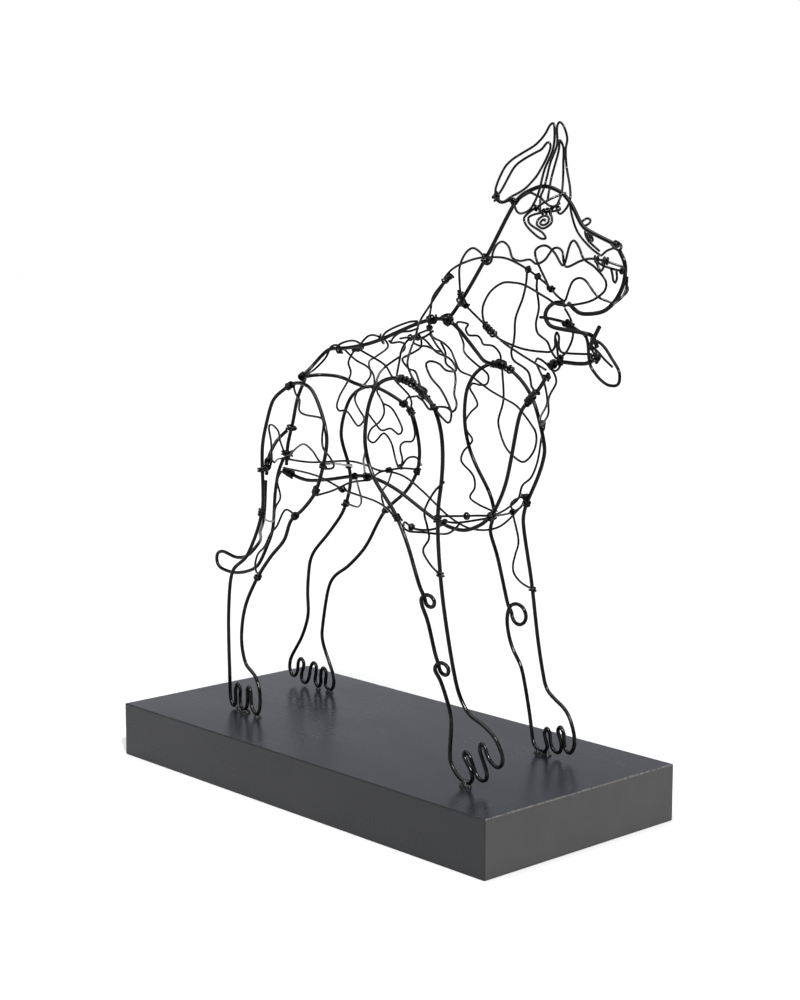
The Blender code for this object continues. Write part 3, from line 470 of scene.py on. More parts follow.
# %% Outline routes
FRAME = {
    "back": [
        (-53, -22, 256), (-54, -14, 261), (-48, -4, 272.5), (-38, -4, 274), (-27, -4, 275.5),
        (-11, -4, 278.5), (4, -4, 282.5), (19, -4, 288), (37, -4, 294), (54, -4, 297), (65, -4, 295),
        (65, 8, 285), (62, 20, 276), (59, 30, 270), (62, 37, 268),
    ],
    "neck": [
        (55, 0, 294), (65, 0, 304), (77, 0, 319), (89, 0, 334), (100, 0, 349), (110, 0, 363),
        (115, 0, 368), (127, 0, 373), (136, 0, 374), (148, 0, 370), (154, 0, 365), (164, 0, 352),
        (176, 0, 347), (189, 0, 342),
    ],
    "belly_and_chest": [
        (-97, 0, 191), (-76, 0, 187), (-56, 0, 189), (-37, 0, 193), (-17, 0, 195), (-3, 0, 194),
        (15, 0, 189), (33, 0, 181), (49, 0, 175), (64, 0, 172), (76, 0, 173), (90, 0, 180),
        (97, 0, 187), (106, 0, 204), (113, 0, 230), (118, 0, 247), (131, 0, 260), (139, 0, 270),
    ],
    "tail": [
        (-100.5, 2.5, 199), (-101.5, 1.5, 195.5), (-102, 0, 192), (-106, 0, 179), (-108, 0, 167),
        (-110, 0, 150), (-120, 0, 132), (-127, 0, 123), (-141, 0, 117), (-157, 0, 115), (-170, 0, 118),
        (-171, 0, 125), (-165, 0, 128), (-149, 0, 126), (-137, 0, 129), (-124, 0, 140),
        (-108, -12, 150), (-88, -25, 162.5), (-82, -28.5, 174.5), (-78, -31, 189),
    ],
    "rump": [
        (-75, 0, 253), (-83, 0, 239), (-90, 0, 220), (-94, 0, 207), (-94.5, 0, 200.5), (-95, 0, 194.5),
    ],
    "rump_stay": [
        (-91, -1.5, 218), (-93, -5, 215), (-94, -9, 211), (-92, -14, 207), (-89, -19, 203),
        (-84, -24, 200), (-80, -28, 197), (-77, -31, 193.5),
    ],
    "hip_bar": [(-74, -3, 254), (-70, 8, 255), (-60, 16, 254), (-54, 26, 249), (-49, 32, 247)],
    "muzzle": [
        (190, 0, 340), (194, 0, 333), (194, 0, 324), (193, -4, 315), (189, -9, 308), (183, -13, 306),
        (176, -15, 306), (168, -17, 311),
    ],
    "lower_jaw": [
        (167, -17, 310), (163, -17, 311.5), (158.5, -16.5, 311), (154, -15.5, 309), (151, -15, 306.5),
        (149, -14, 302.5), (151, -14, 299.5), (155, -14, 297.5), (159.5, -13, 297), (164.5, -12, 296.5),
        (169, -11, 295.5), (173, -9.5, 295), (176, -7.5, 293.5), (177.5, -6, 291), (178.5, -4, 286.5),
    ],
    "chin": [
        (142, -2, 275), (149, -2, 277), (159, -2, 277), (171, -3, 278), (178, -4, 282), (176, -5, 287),
        (179, -6, 292), (184, -8, 299),
    ],
}

TONGUE = {
    "tongue": [
        (148, -16, 302.5), (147.5, -11.5, 302), (151, -10, 301.5), (156.5, -10, 300.5),
        (162, -9.5, 299.5), (166.5, -8.5, 297), (169.5, -7, 294.5), (172.5, -6, 292.5), (174, -5, 285),
        (176, -5, 276), (182, -5, 270), (189, -5, 267), (195, -5, 268), (195.5, -4, 273),
        (192.5, -4, 278), (188, -3.5, 282.5), (182, -3, 286.5), (176, -2.5, 290), (172.5, -2.5, 291.5),
    ],
}
print(len(FRAME) + len(TONGUE), "wires of the outline")

# %% [markdown]
# ## The head
# Thin wire draws the cropped ears, the brows and eyes, the wrinkled lip and the throat.

# %% Head routes
HEAD = {
    "right_ear": [
        (115, -17, 366.5), (116.5, -15, 365.5), (117, -12, 367.5), (118, -8, 369), (125.5, -8, 372),
        (132.5, -10, 375.5), (138, -11, 379), (141, -11, 382.5), (144.5, -9, 390), (146, -8, 396),
        (145, -8.5, 398), (142, -11, 394), (139.5, -12.5, 392.5), (131, -15, 388), (126, -17, 383.5),
        (120.5, -18, 375.5), (116, -18.5, 369.5), (114.5, -19, 370), (117, -19.5, 376),
        (121, -19, 383.5), (124.5, -17, 388), (131, -15, 392), (137, -11.5, 396), (142, -8.5, 402),
        (144, -6, 407.5), (145, -5.5, 408.5), (146, -5.5, 407.5), (147.5, -6.5, 400.5),
        (148, -8.5, 393), (146, -11.5, 385), (145.5, -15, 376.5), (145.5, -17, 369.5),
        (142.5, -17.5, 363.5), (140, -17, 361), (135, -15, 359.5), (129.5, -13, 359),
        (123.5, -10.5, 360), (119.5, -8.5, 363), (116, -6, 366),
    ],
    "left_ear": [
        (141.5, -11, 361), (138, -7, 365), (133.5, -2, 369), (130, 4, 373), (129, 7, 378),
        (131, 7.5, 386), (134, 7, 391), (137, 6, 394.5), (139, 5, 399), (139, 4.5, 406),
        (140, 4.5, 408.8), (142, 4.5, 409), (144.5, 5.5, 404.5), (145.5, 6, 399.5), (143.5, 7, 395),
        (143.5, 7.5, 386.5), (145.5, 7, 381), (150, 4, 372), (151.5, 2.5, 368.5), (150, 1, 362),
        (148, -2, 359), (146.5, -3, 361), (145.5, 0, 365), (144, 3, 368), (142, 6, 372), (139, 10, 380),
        (138.5, 10.5, 388.5), (139, 10, 394), (138.5, 9.5, 398), (137, 9, 399.5), (136.5, 9, 394.5),
        (135, 9.5, 390.5), (131.5, 9, 380.5), (133, 6, 375), (135.5, 2, 371), (139.5, -3, 366.5),
    ],
    "right_brow": [
        (151.5, -1, 370.5), (147.5, -8, 367.5), (142, -15, 363), (138, -17, 360), (136, -18, 356.5),
        (138, -18, 352.5), (147.5, -19, 347), (151, -19, 345.5), (153.5, -19, 346), (153, -19, 348),
        (145, -18.5, 352), (140, -18, 354.5), (139.5, -18, 357), (143, -16, 359), (148, -9, 360.5),
        (150, -4, 361.5), (148.5, -5, 363.5), (149, -9, 361.5),
        *eye_spiral((149, -16, 355), 60),
    ],
    "left_brow": [
        (150.5, 3, 367), (148.5, 6, 363.5), (146.5, 9, 359.5), (146, 11, 355), (148, 13, 348.5),
        (151.5, 13, 345.5), (156, 12.5, 342.5), (162, 11, 340), (168, 9, 337), (170.5, 7.5, 336.5),
        (174.5, 6, 338.5), (179.5, 4.5, 340), (188.5, 2, 342),
    ],
    "left_eye": [
        (167, 9.5, 338.5), (161, 11.5, 340.5), (157, 13, 343),
        *eye_spiral((156.5, 13, 346.5), 270),
    ],
    "cheek_line": [
        (56, -2, 320), (61, -2, 325), (72, -3, 329), (84, -4, 333), (94, -5, 334), (112, -8, 334),
        (133, -13, 329), (144, -15, 324), (153, -16, 320), (161, -17, 313), (168, -18, 311),
    ],
    "face_wave": [
        (72, -4, 310), (71, -4, 318), (72, -4, 329), (77, -4, 337), (83, -4, 339), (89, -4, 335),
        (92, -4, 330), (96, -4, 331), (99, -5, 337), (104, -6, 342), (111, -8, 343), (117, -10, 340),
        (121, -12, 335), (129, -14, 333), (139, -16, 334), (147, -18, 332), (152, -18, 334),
        (157, -18, 339), (161, -18, 341), (165, -18, 339), (167, -18, 331), (174, -17, 333),
        (179, -16, 335), (186, -12, 335), (191, -7, 333), (196, -3, 331),
    ],
    "face_loop": [
        (154, -17, 320), (148, -17, 329), (143, -17, 337), (144, -16, 340), (150, -16, 342),
        (157, -17, 339), (166, -18, 332), (167, -16, 339), (170, -15, 345), (174, -15, 342),
        (178, -16, 335), (185, -14, 331), (192, -12, 322), (191, -13, 318), (184, -15, 313),
        (174, -17, 311), (164, -18, 311), (147, -18, 316), (137, -18, 320), (125, -17, 321),
        (117, -17, 320), (106, -16, 313), (100, -14, 304), (100, -12, 297), (103, -11, 295),
    ],
    "lip_wave": [
        (167, -17, 312), (169, -17, 318), (172, -17, 323), (178, -16, 325), (184, -14, 318),
        (188, -12, 314), (192, -8, 312),
    ],
    "throat_line": [
        (73, -3, 307), (87, -7, 301), (101, -11, 295), (109, -12, 290), (120, -13, 286),
        (132, -14, 284), (149, -14, 283.5), (153.5, -13.5, 284), (156, -13.5, 286), (156, -13.5, 290),
        (156, -13, 293), (156, -12, 294.5), (156.5, -11, 293), (156.5, -10.5, 289.5), (156, -10, 286),
        (157, -9, 283.5), (159.5, -7.5, 283), (168, -5, 283), (174, -3, 283),
    ],
    "cheek_stay": [
        (136, -15, 329), (136, -16, 320), (134, -17, 311), (129, -16, 303), (127, -16, 296),
        (127, -15, 289), (123, -13, 283), (120, -9, 277), (125, -6, 273), (127, -3, 269),
        (128, -2, 261),
    ],
    "jaw_stay": [
        (145, -16, 326), (145, -17, 319), (147, -17, 307), (144, -16, 297), (146, -15, 292),
        (150, -13, 289), (151, -11, 284), (149, -4, 279),
    ],
    "jaw_link": [
        (165.5, -16, 308.5), (165.5, -14, 306), (164, -10.5, 303), (162, -6.5, 300), (162, -5.5, 296),
        (162, -5.5, 291.5), (159.5, -5, 287), (157.5, -5, 284), (153, -4, 281), (149.5, -3, 279),
    ],
}
print(len(HEAD), "wires in the head")

# %% [markdown]
# ## Shoulders and chest
# The thin wire is at its busiest here. Zigzags and sweeps run from the back down to the elbows.

# %% Chest routes
CHEST = {
    "breast_wire": [
        (128, 2, 274), (124, 12, 264), (120, 20, 252), (106, 30, 243), (97, 38, 236), (94, 43, 230),
        (94, 41, 220), (95, 38, 212), (89, 38, 201), (84, 36, 196), (84, 34, 190), (73, 36, 182),
        (60, 39, 176),
    ],
    "breast_stay": [
        (127, 2, 276), (131, 0, 278), (134, 6, 273), (132, 14, 265), (125, 18, 258), (118, 22, 252),
        (113, 28, 244), (97, 39, 234),
    ],
    "brisket_bar": [(84, 41, 187), (83, 36, 183), (83, 30, 181), (89, 15, 182), (94, 3, 183)],
    "shoulder_stay": [
        (60, -2, 323), (54, -5, 314), (50, -7, 306), (43, -9, 296), (52, -22, 286), (58, -32, 278),
        (63, -38, 273), (71, -43, 268), (80, -46, 262),
    ],
    "shoulder_link": [(44, -4, 290), (39, -12, 286), (44, -24, 281), (54, -36, 274), (63, -46, 266)],
    "shoulder_sweep": [
        (60, -1, 323), (52, -2, 316), (46, -2, 309), (45, -2, 303), (48, -4, 296), (42, 0, 288),
        (40, 6, 284), (39, 14, 281), (37, 22, 276), (32, 30, 270), (29, 38, 262), (33, 43, 259),
        (40, 44, 255), (64, 38, 249), (84, 30, 246), (101, 25, 237), (107, 24, 231), (106, 24, 222),
        (95, 26, 213), (85, 28, 216), (77, 30, 219), (69, 33, 227), (66, 34, 235), (66, 37, 243),
        (65, 39, 256), (63, 40, 265),
    ],
    "shoulder_brace": [
        (40, -6, 285), (46, -12, 280), (47, -20, 277), (47, -26, 275), (50, -30, 274), (63, -37, 270),
        (73, -41, 269), (82, -46, 262),
    ],
    "shoulder_zigzag": [
        (35, -5, 285), (47, -10, 285), (59, -16, 282), (71, -22, 279), (85, -28, 278), (95, -32, 275),
        (99, -34, 271), (96, -38, 271), (91, -40, 275), (86, -42, 276), (83, -42, 274), (86, -42, 268),
        (96, -43, 261), (102, -44, 255), (107, -45, 248), (106, -46, 243), (97, -46, 248),
        (95, -46, 251),
    ],
    "shoulder_stitch": [
        (66, -14, 284), (76, -20, 279), (82, -26, 275), (89, -30, 272), (97, -33, 270), (101, -36, 263),
        (102, -38, 258), (107, -41, 253), (107, -43, 249), (102, -44, 251), (96, -46, 251),
    ],
    "left_shoulder_fringe": [
        (65, 37, 270), (67, 34, 275), (66, 29, 280), (63, 24, 281), (65, 20, 284), (65, 16, 287),
        (63, 12, 287), (64, 8, 291), (67, 7, 294), (62, 3, 295), (59, 8, 289), (56, 14, 282),
        (47, 24, 275), (46, 34, 268), (51, 40, 261), (46, 43, 255), (33, 44, 254), (32, 43, 251),
        (39, 41, 246), (42, 40, 242), (35, 40, 237), (27, 43, 231), (29, 44, 224), (34, 41, 219),
        (29, 40, 211), (28, 40, 206), (38, 41, 197), (39, 41, 190), (36, 40, 184), (41, 40, 181),
        (54, 40, 178),
    ],
    "brisket_brace": [(95, -43, 188), (95, -34, 187), (96, -22, 186), (96, -11, 185), (98, -3, 184)],
    "brisket_sling": [
        (97, -3, 183), (95, -12, 183), (92, -27, 182), (91, -36, 183), (90, -40, 180), (74, -44, 178),
        (65, -44, 180), (69, -46, 178), (85, -40, 177), (91, -34, 176), (93, -28, 179), (95, -25, 183),
    ],
    "right_forearm_wire": [
        (103, -46, 209), (97, -46, 204), (91, -46, 197), (86, -46, 190), (88, -46, 183), (90, -46, 175),
        (85, -46, 167), (91, -46, 160), (99, -46, 156),
    ],
    "left_forearm_wire": [
        (83, 30, 180), (82, 33, 170), (81, 37, 161), (74, 40, 149), (73, 41, 142), (78, 41, 137),
        (88, 41, 134),
    ],
}
print(len(CHEST), "wires in the chest")

# %% [markdown]
# ## Belly, loin and thighs
# Thin wires tie the two sides together across the belly and loin, and draw the muscles of the thighs.

# %% Body routes
BODY = {
    "back_binding": [
        (-49.5, -22, 257.5), (-48, -17, 260), (-45, -13, 265), (-43, -9.5, 269), (-42, -8, 273),
        (-41.5, -6.5, 275.5), (-40, -4.5, 276.5), (-39.5, -1.5, 275.5), (-38, -1.5, 273.5),
        (-37.5, -4, 272), (-36, -7, 273.5), (-34, -7.5, 276.5), (-30.5, -6.5, 278.5), (-28, -5, 279.5),
        (-24.5, -4, 280), (-22, -2, 279.5), (-19.5, -0.8, 278), (-16.5, -1.8, 276), (-15, -4.5, 275.5),
        (-13, -7, 278), (-10.5, -7.5, 280.5), (-7.5, -7, 283), (-5.5, -5.5, 284.5), (-2.5, -4.5, 284.5),
        (-1, -2.5, 283.5), (0.5, -1, 282), (3.5, -2.8, 280.5), (6, -6.5, 282.5), (8, -7, 285.5),
        (12.5, -6.5, 288), (17.5, -6, 289.5), (22.5, -6, 291.5), (26.5, -6, 293), (29, -5.5, 294),
        (32, -5, 294.5), (36.5, -5, 294.5),
    ],
    "loin_stay": [(-37, 0, 274), (-36, 10, 266), (-36, 20, 261), (-40, 28, 255), (-45, 33, 249)],
    "loin_loop": [
        (0, 0, 283), (0, 4, 278), (-21, 12, 269), (-36, 20, 264), (-43, 28, 256), (-53, 32, 249),
        (-60, 32, 244), (-62, 31, 239), (-56, 28, 234), (-44, 23, 227), (-46, 20, 223), (-52, 20, 228),
        (-59, 20, 232), (-64, 18, 232), (-62, 16, 237), (-45, 9, 252), (-36, 5, 260), (-35, 2, 265),
        (-26, 0, 275),
    ],
    "loin_hook": [
        (-24, 0, 275), (-20, 8, 270), (-16, 16, 264), (-18, 24, 256), (-17, 31, 249), (-16, 37, 243),
        (-17, 40, 238),
    ],
    "right_belly_line": [
        (-98, 0, 193), (-72, -6, 193), (-47, -12, 193), (-32, -15, 191), (-21, -16, 189),
        (-2, -22, 188), (24, -30, 188), (47, -39, 186), (59, -44, 183),
    ],
    "left_belly_line": [
        (-84, -19, 199), (-94, -9, 199), (-103, 1, 198), (-104.5, 5.5, 197.5), (-100.5, 6, 197.5),
        (-86, 8, 197), (-66, 13, 198), (-55, 16, 200), (-41, 19, 199), (-27, 21, 196), (-18, 22, 196),
        (-9, 25, 194), (1, 28, 188), (11, 31, 180), (19, 34, 173), (28, 36, 168), (39, 37, 165),
        (55, 38, 166), (65, 39, 170), (74, 39, 177), (83, 40, 185),
    ],
    "belly_cross": [
        (-23, -36, 186), (-21, -22, 188), (-20, -17, 190), (-19, -9, 192), (-15, -2, 194),
        (-15, 10, 197), (-14, 19, 198), (-14, 29, 198), (-12, 39, 197),
    ],
    "thigh_stay": [(-14, 19, 195), (-25, 26, 187), (-37, 32, 180), (-42, 37, 173), (-41, 39, 168)],
    "belly_loop": [
        (-78, 38, 167), (-63, 33, 167), (-53, 28, 171), (-47, 23, 176), (-42, 17, 182), (-34, 8, 189),
        (-28, 2, 193),
    ],
    "elbow_link": [(33, -44, 220), (21, -35, 212), (3, -18, 203), (-14, -3, 197)],
    "rump_loop": [
        (-95, -2, 204), (-91, -8, 211), (-82, -18, 221), (-78, -27, 225), (-75.5, -31.5, 224),
        (-75, -31, 220.5), (-75, -29, 216), (-76, -27.5, 210.5), (-77, -27, 205.5), (-77.5, -26, 201),
    ],
    "right_thigh_zigzag": [
        (-58, -25, 251), (-53, -26, 246), (-47, -28, 243), (-45, -30, 237), (-40, -31, 235),
        (-25, -34, 235), (-16, -35, 233), (-16, -36, 221), (-13, -37, 215), (-7, -37, 211),
        (-4, -37, 206), (-11, -37, 204),
    ],
    "haunch_arch": [
        (-88, -3, 202), (-73, -9, 209), (-59, -15, 213), (-44, -22, 212), (-26, -31, 209),
        (-18, -35, 207), (-28, -18, 204), (-53, 12, 198), (-72, 37, 193),
    ],
    "tail_stay": [
        (-97, -2, 191), (-102, -2, 184), (-101, -2, 178), (-99, -2, 173), (-104, -2, 166),
        (-99, -8, 159), (-85, -25, 162), (-78, -34, 166),
    ],
    "right_hock_wire": [
        (-46, -34, 169), (-50, -34, 173), (-55, -34, 173), (-60, -34, 166), (-65, -34, 160),
        (-72, -34, 154), (-76, -34, 147), (-83, -34, 141), (-86, -34, 133), (-84, -34, 128),
    ],
    "left_thigh_leaf": [
        (-45, 35, 244), (-41, 36, 238), (-40, 37, 232), (-46, 38, 225), (-56, 39, 218), (-58, 39, 212),
        (-53, 39, 210), (-43, 39, 217), (-36, 39, 212), (-32, 39, 202), (-27, 38, 196), (-24, 38, 200),
        (-26, 38, 210), (-23, 38, 213), (-14, 38, 215), (-12, 38, 220), (-15, 38, 228), (-17, 38, 234),
    ],
    "left_thigh_curl": [
        (-57, 37, 230), (-50, 38, 224), (-42, 37, 219), (-34, 37, 221), (-26, 37, 218), (-23, 37, 221),
        (-28, 37, 229), (-33, 36, 235), (-39, 35, 237),
    ],
}
print(len(BODY), "wires in the body")

# %% [markdown]
# ## Small wires
# These short ends and stitches are too small to be solids of their own. They are drawn only here: the
# stitches on the withers, the ties at the ear and the jaw, a tooth, the tip of the nose, the second
# strands of lip and muzzle, and a few loops and hooks where a wire was turned back on itself.

# %% Small routes
SMALL = {
    "wither_stitch_low": [
        (13, -7, 282), (16, -8, 281), (25, -9, 282), (29, -9, 281), (28, -8, 278), (23, -7, 275),
    ],
    "wither_stitch_high": [(15, -7, 282), (20, -9, 285), (26, -9, 288), (33, -8, 289), (40, -8, 291)],
    "wither_stitch_front": [(37, -9, 282), (44, -11, 281), (52, -12, 281), (61, -13, 279), (66, -14, 279)],
    "wither_stitch_neck": [(49, -7, 288), (54, -9, 285), (58, -10, 282), (64, -12, 279), (70, -14, 275)],
    "wither_tie": [(24, -8, 284), (31, -9, 285), (39, -9, 285), (45, -8, 286), (52, -7, 290)],
    "shoulder_tie": [(50, -32, 276), (44, -38, 270), (43, -42, 266), (44, -46, 259)],
    "throat_strut": [(105, -11, 292), (114, -10, 286), (122, -7, 281), (131, -4, 276), (139, -2, 272)],
    "ear_tie": [
        (115.9, -19, 371.1), (114, -19, 369.4), (115.3, -19.5, 367.8), (117.7, -20, 367.5),
        (118.5, -20, 368.8), (115.9, -19, 370), (113.9, -18.5, 368.3), (115.4, -18, 366.1),
        (116.5, -16, 365), (116.9, -12, 365.8), (116.9, -8, 366.6), (116.3, -5, 364.4),
    ],
    "jaw_post": [
        (146.7, -3, 290.6), (147.5, -3, 288.4), (148, -3, 285.6), (148.4, -3, 282.9), (148.8, -3, 280.7),
    ],
    "tooth": [
        (195.3, -12.3, 330), (195.3, -11.1, 326.9), (195.3, -10.6, 324.4), (195.3, -8.9, 322.8),
        (195.3, -7.6, 324.8), (195.3, -7.6, 326.8), (195.3, -8, 328.9),
    ],
    "lip_second": [
        (186.5, -14, 334), (191, -14, 332), (195, -12, 330.5), (195.3, -6.6, 329.4), (195.3, -2.5, 328.9),
    ],
    "muzzle_strand": [
        (195.3, -0.2, 322.5), (195.3, 1.5, 318.8), (195.3, -1.6, 315.9), (194.5, -6, 313.5),
    ],
    "far_hook": [
        (157, 6, 354.5), (157.5, 8, 356), (158.5, 9, 356.5), (160.5, 9, 356), (161.5, 8, 354.5),
        (161, 6, 353), (161, 3.5, 352.5),
    ],
    "ear_base_arc": [
        (118.5, -4, 367), (123.5, -5, 369), (130, -7, 370.5), (135.5, -9, 369.5), (141, -10.5, 368),
        (146, -12, 365.5), (148.5, -11, 363.5), (149.5, -9, 363), (150, -6.5, 364), (151, -5, 365),
    ],
    "lip_knot": [
        (186.5, -15, 335), (188, -15.5, 333), (189.5, -15.5, 330.5), (190.5, -15.2, 329),
        (191.5, -14.8, 330), (192, -14.5, 332), (190.5, -14, 334),
    ],
    "nose_tip": [
        (186.5, -2.5, 343), (189.5, -3, 341), (192, -2.8, 340), (193, -1.8, 341), (192, -1, 343),
        (189.5, -0.5, 343.5),
    ],
    "withers_loop": [(60.5, -9, 298.5), (64, -9, 300), (67, -8.5, 300.5), (68.5, -7.5, 300), (66, -7, 298)],
    "elbow_loop": [
        (81.5, -46.8, 255.5), (85.5, -46.5, 253.5), (87.5, -46.5, 251.5), (90, -46.5, 249.5),
        (92.5, -46.8, 249.5), (92, -47.3, 252.5), (88.5, -47.3, 255), (86.5, -47, 257.5),
    ],
    "hip_hook": [(-22.5, 39, 239), (-19, 38, 242), (-14, 37, 243), (-7.5, 36, 244)],
    "lip_strand": [
        (195.3, 1, 325.9), (195.3, 0.1, 319.8), (195.3, -3.1, 314.9), (193, -8, 311),
    ],
    "tongue_crease": [(175, -5, 288), (179, -4, 285), (184, -4, 281), (190, -4, 277)],
    "chin_hook": [(139, -1, 276), (142, -2, 273), (146, -2, 272), (149, -2, 274), (149, -1, 277)],
    "left_thigh_hook": [(-25, 39, 198), (-20, 39, 203), (-13, 40, 204), (-9, 41, 199)],
    "chest_hook": [(86, 40, 190), (81, 38, 189), (79, 34, 187), (79, 32, 185), (84, 29, 182)],
}
print(len(SMALL), "small wires")

# %% [markdown]
# ## From a route to a smooth line
# A listed route has corners. A curve through its points takes them out, and then the points that
# aren't needed are dropped, so that what is left is the line the imported tube follows. The same steps in
# the same order made the solids, so each new wire lies where its solid is.

# %% Curve through the points
# How long a step of the smooth curve is, in metres
SMOOTH_STEP = 0.0010


def smoothed(points, closed):
    """A smooth curve through the points, as many short steps."""
    if closed:
        held = np.vstack([points[-1], points, points[:2]])
    else:
        held = np.vstack([2 * points[0] - points[1], points, 2 * points[-1] - points[-2]])
    curve = []
    for before, start, end, after in zip(held, held[1:], held[2:], held[3:]):
        lead, span, trail = (
            math.sqrt(max(float(np.linalg.norm(b - a)), 1e-5))
            for a, b in ((before, start), (start, end), (end, after))
        )
        leave = span * ((start - before) / lead - (end - before) / (lead + span)) + end - start
        arrive = span * ((after - end) / trail - (after - start) / (span + trail)) + end - start
        steps = max(2, round(span * span / SMOOTH_STEP))
        for t in np.linspace(0, 1, steps, endpoint=False):
            curve.append(
                (2 * t**3 - 3 * t**2 + 1) * start
                + (t**3 - 2 * t**2 + t) * leave
                + (3 * t**2 - 2 * t**3) * end
                + (t**3 - t**2) * arrive
            )
    if not closed:
        curve.append(points[-1])
    return np.array(curve)


corner = np.array([(0, 0, 0), (0.01, 0, 0), (0.01, 0, 0.01)])
print("a corner of 10 mm sides becomes", len(smoothed(corner, False)), "points")

# %% Drop the points that the curve can spare
# How closely the straight pieces of a tube follow its smooth route, in metres
FRAME_FIT = 0.0005
FILL_FIT = 0.0007


def thinned(points, fit, closed):
    """The fewest points of the curve whose straight pieces stay this close to it."""
    if closed:
        points = np.vstack([points, points[0]])
    kept = {0, len(points) - 1, len(points) // 2}
    spans = [(0, len(points) // 2), (len(points) // 2, len(points) - 1)]
    while spans:
        first, last = spans.pop()
        if last - first < 2:
            continue
        line = points[last] - points[first]
        offset = points[first : last + 1] - points[first]
        along = np.clip(offset @ line / max(line @ line, 1e-12), 0, 1)
        away = np.linalg.norm(offset - along[:, None] * line, axis=1)
        worst = int(np.argmax(away))
        if away[worst] > fit:
            kept.add(first + worst)
            spans += [(first, first + worst), (first + worst, last)]
    chosen = points[sorted(kept)]
    return chosen[:-1] if closed else chosen


print("of which", len(thinned(smoothed(corner, False), FILL_FIT, False)), "are kept for a thin wire")


# %% [markdown]
# ## Easing wires apart
# Each straight piece of a wire is paired with the pieces near it. Where two are closer than their
# thickness allows, they are pushed away from each other, the softer wire more, and this is done over and
# over until all are clear. Two lines that run right through each other have no way to go, so one is sent
# outward from the dog's middle and the other inward. No wire may sink into the plinth.


# %% Nearest points of two straight pieces
def nearest(p1, q1, p2, q2):
    """How far along each of two straight pieces their nearest points lie."""
    d1, d2, r = q1 - p1, q2 - p2, p1 - p2
    a, e = (d1 * d1).sum(1), (d2 * d2).sum(1)
    b, c, f = (d1 * d2).sum(1), (d1 * r).sum(1), (d2 * r).sum(1)
    across = a * e - b * b
    s = np.where(across > 1e-9 * a * e, (b * f - c * e) / np.maximum(across, 1e-18), 0.5)
    s = np.clip(s, 0, 1)
    t = (b * s + f) / e
    s = np.where(t < 0, np.clip(-c / a, 0, 1), np.where(t > 1, np.clip((b - c) / a, 0, 1), s))
    return s, np.clip(t, 0, 1)


flat, upright = np.array([(0.0, 0, 0), (2.0, 0, 0)]), np.array([(1.0, 1, -3), (1.0, 1, 1)])
along_flat, along_upright = nearest(flat[:1], flat[1:], upright[:1], upright[1:])
print("a flat and an upright piece pass at", float(along_flat[0]), "and", float(along_upright[0]))

# %% Find the pieces that lie near each other
# How far a piece looks for others, and how many radii along its own wire it leaves out
LOOK_AROUND = 0.006
SAME_BEND = 8


def near_pieces(wires, points, radius):
    """The two ends of a piece and the two ends of its neighbour, for all pairs that could touch."""
    start, end, owner, place = [], [], [], []
    first = 0
    for number, wire in enumerate(wires):
        count = len(wire.points)
        steps = np.linalg.norm(np.diff(wire.points, axis=0), axis=1)
        run = np.concatenate([[0], np.cumsum(steps)])
        for i in range(count if wire.closed else count - 1):
            start.append(first + i)
            end.append(first + (i + 1) % count)
            owner.append(number)
            place.append(run[i])
        first += count
    start, end, owner, place = (np.array(x) for x in (start, end, owner, place))
    middle = (points[start] + points[end]) / 2
    reach = np.linalg.norm(points[start] - points[end], axis=1) / 2 + LOOK_AROUND
    one, two = np.triu_indices(len(start), 1)
    close = np.linalg.norm(middle[one] - middle[two], axis=1) < reach[one] + reach[two]
    one, two = one[close], two[close]
    joined = (start[one] == end[two]) | (end[one] == start[two])
    bend = SAME_BEND * radius[start[one]]
    near_on_wire = (owner[one] == owner[two]) & (np.abs(place[one] - place[two]) < bend)
    one, two = one[~(joined | near_on_wire)], two[~(joined | near_on_wire)]
    return start[one], end[one], start[two], end[two]


print("pieces up to", LOOK_AROUND * 1000, "mm from each other are looked at")

# %% Ease the wires apart
# The rounds at most, the share of a push that is done in each, and how much more room than needed is made
SETTLE_ROUNDS = 260
SETTLE_SHARE = 0.45
SETTLE_MARGIN = 1.01
# Below this distance two centre lines count as running through each other
NO_GAP = 0.0002


